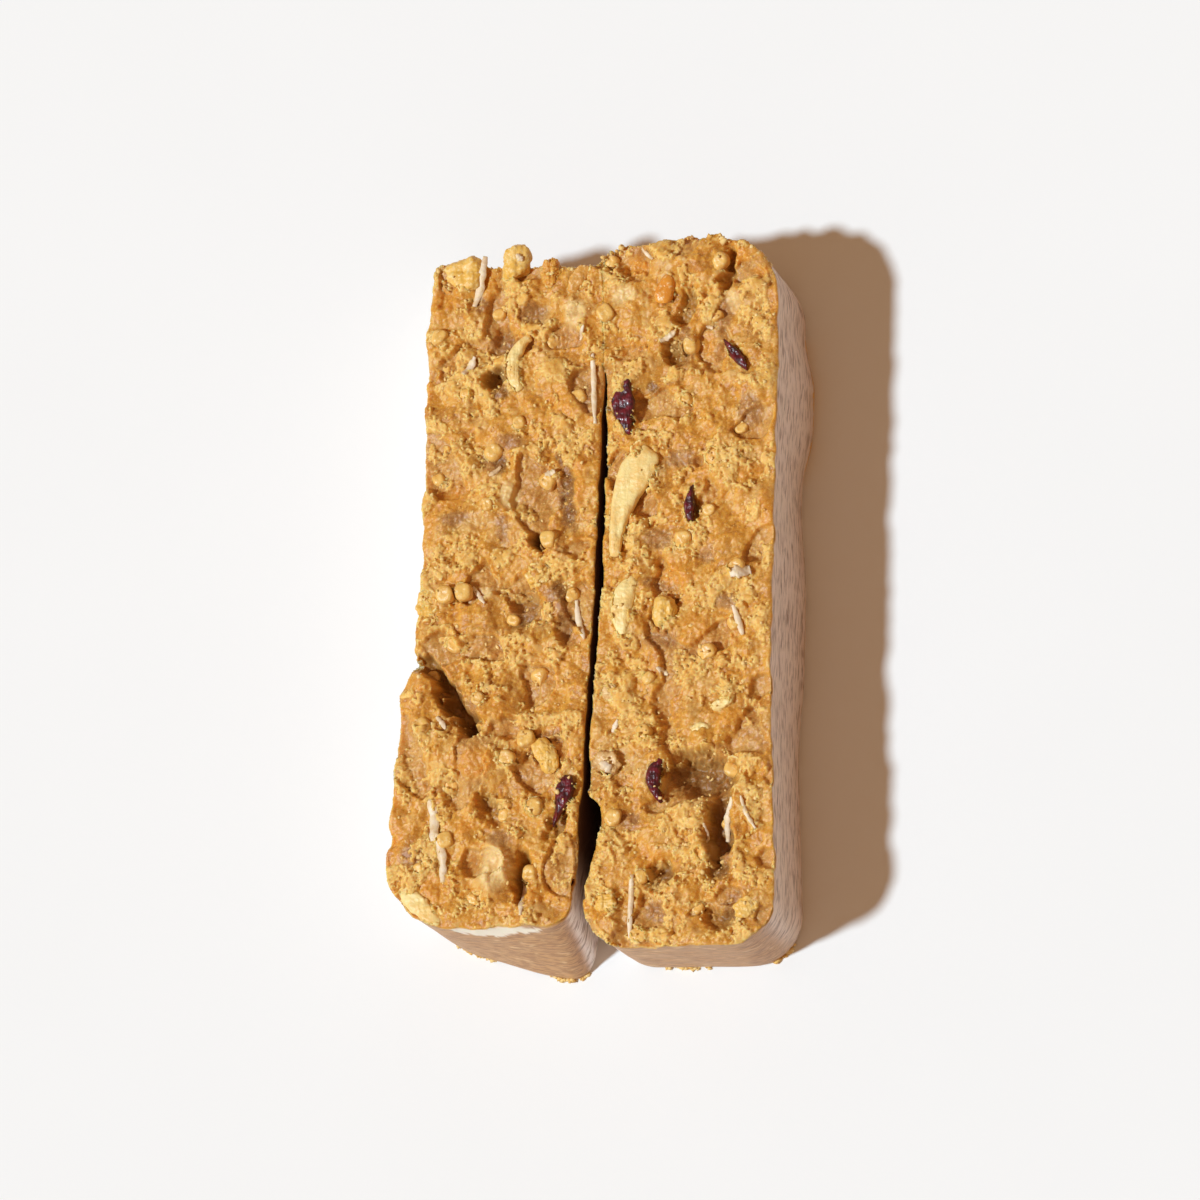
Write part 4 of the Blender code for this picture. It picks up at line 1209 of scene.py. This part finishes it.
def strips_of(kind):
    """Every strip of that kind."""
    strips = enumerate(STRIPS)
    return [strip(*form, 300 + index, STRIP_WRINKLES[kind]) for index, (own, *form) in strips if own == kind]


def joined_piece(name, parts, material, slot_name, **share_values):
    """Many small forms in plan millimetres as one piece."""
    faces = []
    first = 0
    for points, own_faces in parts:
        faces.extend((own_faces + first).tolist())
        first += len(points)
    item = mesh_object(name, np.concatenate([points for points, _ in parts]), faces, share_values)
    settle(item, material)


def lumps_of(kind):
    """Every lump of that kind."""
    fineness, uneven, grit, facets = LUMP_FORMS[kind]
    parts = []
    for index, (own, x, y, rise, *half_sizes, turn) in enumerate(LUMPS):
        if own == kind:
            points, faces = broken(fineness, index, facets)
            middle = (x, y, FACE_HEIGHT + rise)
            parts.append((place_lump(points, half_sizes, turn, middle, index, uneven, grit), faces))
    return parts


class BAR_OT_nuts(bpy.types.Operator):
    """Add the nut pieces, the syruped lumps and the lumps of crumb"""
    bl_idname = "bar.nuts"
    bl_label = "Nut pieces"

    def execute(self, context):
        for name, kind, finish, slot_name in (
            ("toasted_nuts", "toasted", "toasted nut", "nut"),
            ("cream_nuts", "cream", "blanched nut", "nut"),
            ("beige_nuts", "beige", "soaked nut", "nut"),
            ("syruped_crumb", "honey", "syruped crumb", "crumb"),
        ):
            material = waxy_material(finish, context.scene.bar_colours)
            joined_piece(name, lumps_of(kind) + strips_of(kind), material, slot_name)
        lumps = lumps_of("crumb")
        points = np.concatenate([own for own, _ in lumps])
        tone = 0.5 + 0.5 * rough_3d(points, 0.9, 91)
        edge = smooth_step(0.05, 0.35, rough_3d(points, 0.7, 95))
        flake = smooth_step(-0.1, 0.1, rough_3d(points, 1.6, 97))
        crumb = bpy.data.materials["torn oat crumb"]
        joined_piece("crumb_lumps", lumps, crumb, "crumb", tone=tone, edge=edge, flake=flake)
        return {"FINISHED"}


def face_height(points, sizes):
    """Height of the crumb, or of the lump on it, under plan places, and the crumb's shares."""
    height, shares = torn_face(*points.T, sizes)
    return np.maximum(height, lump_tops(*points.T)), shares


class BAR_OT_grains(bpy.types.Operator):
    """Add the round puffed grains and the glossy seeds"""
    bl_idname = "bar.grains"
    bl_label = "Round grains"

    def execute(self, context):
        colours = context.scene.bar_colours
        parts = lumps_of("grain")
        for index, (*middle, radius, _, _, _) in enumerate(lump_ovals()[len(LUMPS):]):
            points, faces = broken(4, 200 + index, 4)
            half_sizes = (radius, 0.9 * radius, 0.95 * radius)
            parts.append((place_lump(points, half_sizes, 40.0 * index, middle, index, 0.08, 0.05), faces))
        joined_piece("round_grains", parts, waxy_material("puffed grain", colours), "grain")
        joined_piece("glossy_seeds", lumps_of("amber"), waxy_material("glossy seed", colours), "grain")
        return {"FINISHED"}


class BAR_OT_berries(bpy.types.Operator):
    """Add the dried berries"""
    bl_idname = "bar.berries"
    bl_label = "Dried berries"

    def execute(self, context):
        joined_piece("dried_berries", strips_of("berry"), berry_material(context.scene.bar_colours), "berry")
        return {"FINISHED"}


def sliver(line, width, bow):
    """One thin coconut sliver: a strip along a line of points that bows a little, with blunt torn ends."""
    shares = np.linspace(0.0, 1.0, len(line))
    along = line[-1] - line[0]
    side = np.array((-along[1], along[0], 0.0)) / np.hypot(along[0], along[1])
    middles = line + side * (bow * np.sin(math.pi * shares))[:, None]
    half = 0.5 * width * np.sin(math.pi * np.clip(shares, 0.06, 0.94)) ** 0.35
    half = half * (1.0 + 0.3 * drift(4.0 * shares, line[:, 0], 0.5, 801))
    points = []
    for middle, reach in zip(middles, half):
        for across, up in SLIVER_SECTION:
            points.append(middle + side * across * reach + np.array((0.0, 0.0, up)))
    size = len(SLIVER_SECTION)
    last = len(points) - size
    faces = [(0, index, index + 1) for index in range(1, size - 1)]
    faces += [(last + index + 1, last + index, last) for index in range(1, size - 1)]
    for ring in range(0, last, size):
        for index in range(size):
            here, after = ring + index, ring + (index + 1) % size
            faces += [(here, here + size, after + size), (here, after + size, after)]
    return np.array(points), np.array(faces)


class BAR_OT_coconut(bpy.types.Operator):
    """Add the coconut slivers"""
    bl_idname = "bar.coconut"
    bl_label = "Coconut slivers"

    def execute(self, context):
        draw = random.Random(23)
        parts = []
        shares = np.linspace(0.0, 1.0, 25)[:, None]
        for start, end, width in SLIVERS:
            line = np.array(start) * (1.0 - shares) + np.array(end) * shares
            heights, _ = face_height(line, context.scene.bar_sizes)
            heights = np.convolve(np.pad(heights, 4, mode="edge"), np.full(9, 1.0 / 9.0), mode="valid")
            bow = draw.uniform(-0.06, 0.06) * float(np.hypot(*(line[-1] - line[0])))
            parts.append(sliver(np.column_stack((line, heights + 0.16)), width, bow))
        joined_piece("coconut_slivers", parts, waxy_material("coconut", context.scene.bar_colours), "coconut")
        return {"FINISHED"}


def crumb_radii(draw, count, least, more, power):
    """Radii of loose crumbs, most of them near the least."""
    return least + more * draw.uniform(size=count) ** power


class BAR_OT_loose(bpy.types.Operator):
    """Add loose crumbs on the torn faces, at the torn end and at the foot"""
    bl_idname = "bar.loose"
    bl_label = "Loose crumbs"

    def execute(self, context):
        sizes = context.scene.bar_sizes
        draw = np.random.default_rng(77)
        outline = bar_outline()
        normals = outward_normals(outline)
        spots = draw.uniform(*outline_box(), (sizes.loose * 2, 2))
        distance, _, _ = outline_distance(*spots.T, outline[::2])
        spots = spots[distance < -0.3][:sizes.loose]
        height, shares = face_height(spots, sizes)
        held = draw.uniform(size=len(spots)) < 0.25 + 0.5 * shares["flake"] + 0.5 * shares["edge"]
        spots, height = spots[held], height[held]
        radius = crumb_radii(draw, len(spots), *LOOSE_RADIUS)

        foot = outline + skin_lean(outline, np.zeros((len(outline), 1)))
        clumped = drift(*outline.T, 2.6, 811) > 0.0
        chosen = np.flatnonzero((normals[:, 1] < -0.5) & (np.abs(outline[:, 0]) > 1.0) & clumped)
        chosen = draw.choice(chosen, FOOT_CRUMBS)
        rim = outline + normals * (rim_wander(*outline.T)[:, None] - 0.35)
        torn = draw.choice(np.flatnonzero((normals[:, 1] > 0.3) & (outline[:, 1] > 40.0)), RIM_CRUMBS)
        foot_spots = foot[chosen] - draw.uniform(0.1, 0.4, (FOOT_CRUMBS, 1)) * normals[chosen]
        rim_spots = rim[torn] + draw.uniform(-0.25, 0.25, (RIM_CRUMBS, 2))
        foot_height = draw.uniform(0.0, 0.6, FOOT_CRUMBS)
        rim_height = draw.uniform(FACE_HEIGHT - 0.9, FACE_HEIGHT + 0.1, RIM_CRUMBS)
        radius = np.concatenate((radius, crumb_radii(draw, FOOT_CRUMBS + RIM_CRUMBS, *COARSE_RADIUS)))
        height = np.concatenate((height, foot_height, rim_height)) - 0.1 * radius
        middles = np.column_stack((np.concatenate((spots, foot_spots, rim_spots)), height))

        corners, sides = ball(1)
        count, size = len(middles), len(corners)
        jagged = draw.uniform(0.5, 1.3, (count, size, 1))
        flat = draw.uniform(0.6, 1.0, (count, 1, 3))
        turns = np.array([Euler(angles).to_matrix() for angles in draw.uniform(0.0, 6.28, (count, 3))])
        shapes = np.einsum("nij,nkj->nki", turns, corners * jagged * flat * radius[:, None, None])
        points = (shapes + middles[:, None, :]).reshape(-1, 3)
        points[:, 2] = np.maximum(points[:, 2], 0.0)
        faces = (sides[None] + (np.arange(count) * size)[:, None, None]).reshape(-1, 3)
        tone = np.repeat(draw.uniform(0.2, 1.1, count), size)
        shares = {"tone": tone, "flake": np.ones(len(tone)), "edge": np.clip(tone, 0.0, 1.0)}
        item = mesh_object("loose_crumbs", points, faces.tolist(), shares)
        settle(item, crumb_material(context.scene.bar_colours, "dry loose crumb", 0.0))
        return {"FINISHED"}


# The camera looks down from above the bar's right front
CAMERA_LEAN_X = 0.232
CAMERA_LEAN_Y = -0.215
CAMERA_DISTANCE = 0.8
CAMERA_LENS = 200.0
CAMERA_TARGET_MM = Vector((0.0, 0.0, 18.5))

# The key light comes from the left and a little from the front, with a soft fill from all round
KEY_TRAVEL = Vector((0.52, 0.235, -0.86))
KEY_ANGLE_DEG = 4.5
KEY_STRENGTH = 3.38
KEY_RGB = (0.756, 0.903, 1.0)
FILL_RGB = (0.335, 0.2, 0.111)
FLOOR_HALF_SIZE = 2.0


class BAR_OT_stage(bpy.types.Operator):
    """Add the floor, the lights and the camera"""
    bl_idname = "bar.stage"
    bl_label = "Floor, lights and camera"

    def execute(self, context):
        scene = context.scene
        scene.view_settings.view_transform = "Standard"
        mesh = bmesh.new()
        bmesh.ops.create_grid(mesh, x_segments=1, y_segments=1, size=FLOOR_HALF_SIZE)
        data = bpy.data.meshes.new("floor")
        mesh.to_mesh(data)
        mesh.free()
        data.materials.append(paper_material())
        floor = linked("floor", data)

        key_data = bpy.data.lights.new("key light", "SUN")
        key_data.energy = KEY_STRENGTH
        key_data.angle = math.radians(KEY_ANGLE_DEG)
        key_data.color = KEY_RGB
        key = linked("key light", key_data)
        key.rotation_euler = KEY_TRAVEL.to_track_quat("-Z", "Y").to_euler()

        world = bpy.data.worlds.new("soft fill")
        world.use_nodes = True
        background = world.node_tree.nodes["Background"]
        background.inputs["Color"].default_value = paint(FILL_RGB)
        background.inputs["Strength"].default_value = 1.0
        scene.world = world

        camera_data = bpy.data.cameras.new("camera")
        camera_data.lens = CAMERA_LENS
        camera = linked("camera", camera_data)
        toward = Vector((CAMERA_LEAN_X, CAMERA_LEAN_Y, 1.0)).normalized()
        right = Vector((toward.z, 0.0, -toward.x)).normalized()
        turned = Matrix((right, toward.cross(right), toward)).transposed()
        target = Vector(to_frame(CAMERA_TARGET_MM).tolist())
        camera.matrix_world = Matrix.Translation(target + CAMERA_DISTANCE * toward) @ turned.to_4x4()
        scene.camera = camera
        return {"FINISHED"}


OPERATORS = (
    BAR_OT_crumb, BAR_OT_skin, BAR_OT_nuts, BAR_OT_grains, BAR_OT_berries, BAR_OT_coconut, BAR_OT_loose,
    BAR_OT_stage,
)


class BAR_PT_looks(bpy.types.Panel):
    """Buttons and settings of the granola bar"""
    bl_idname = "BAR_PT_looks"
    bl_label = "Granola bar"
    bl_space_type = "VIEW_3D"
    bl_region_type = "UI"
    bl_category = "Granola bar"

    def draw(self, context):
        for group in (context.scene.bar_sizes, context.scene.bar_colours):
            for name in group.bl_rna.properties.keys():
                if name not in {"rna_type", "name"}:
                    self.layout.prop(group, name)
        for operator in OPERATORS:
            self.layout.operator(operator.bl_idname)


CLASSES = (BarSizes, BarColours, *OPERATORS, BAR_PT_looks)


def register():
    for item in CLASSES:
        bpy.utils.register_class(item)
    bpy.types.Scene.bar_sizes = PointerProperty(type=BarSizes)
    bpy.types.Scene.bar_colours = PointerProperty(type=BarColours)


def unregister():
    del bpy.types.Scene.bar_sizes
    del bpy.types.Scene.bar_colours
    for item in reversed(CLASSES):
        bpy.utils.unregister_class(item)


def main():
    register()
    bpy.ops.bar.crumb()
    bpy.ops.bar.skin()
    bpy.ops.bar.nuts()
    bpy.ops.bar.grains()
    bpy.ops.bar.berries()
    bpy.ops.bar.coconut()
    bpy.ops.bar.loose()
    bpy.ops.bar.stage()


if __name__ == "__main__":
    main()
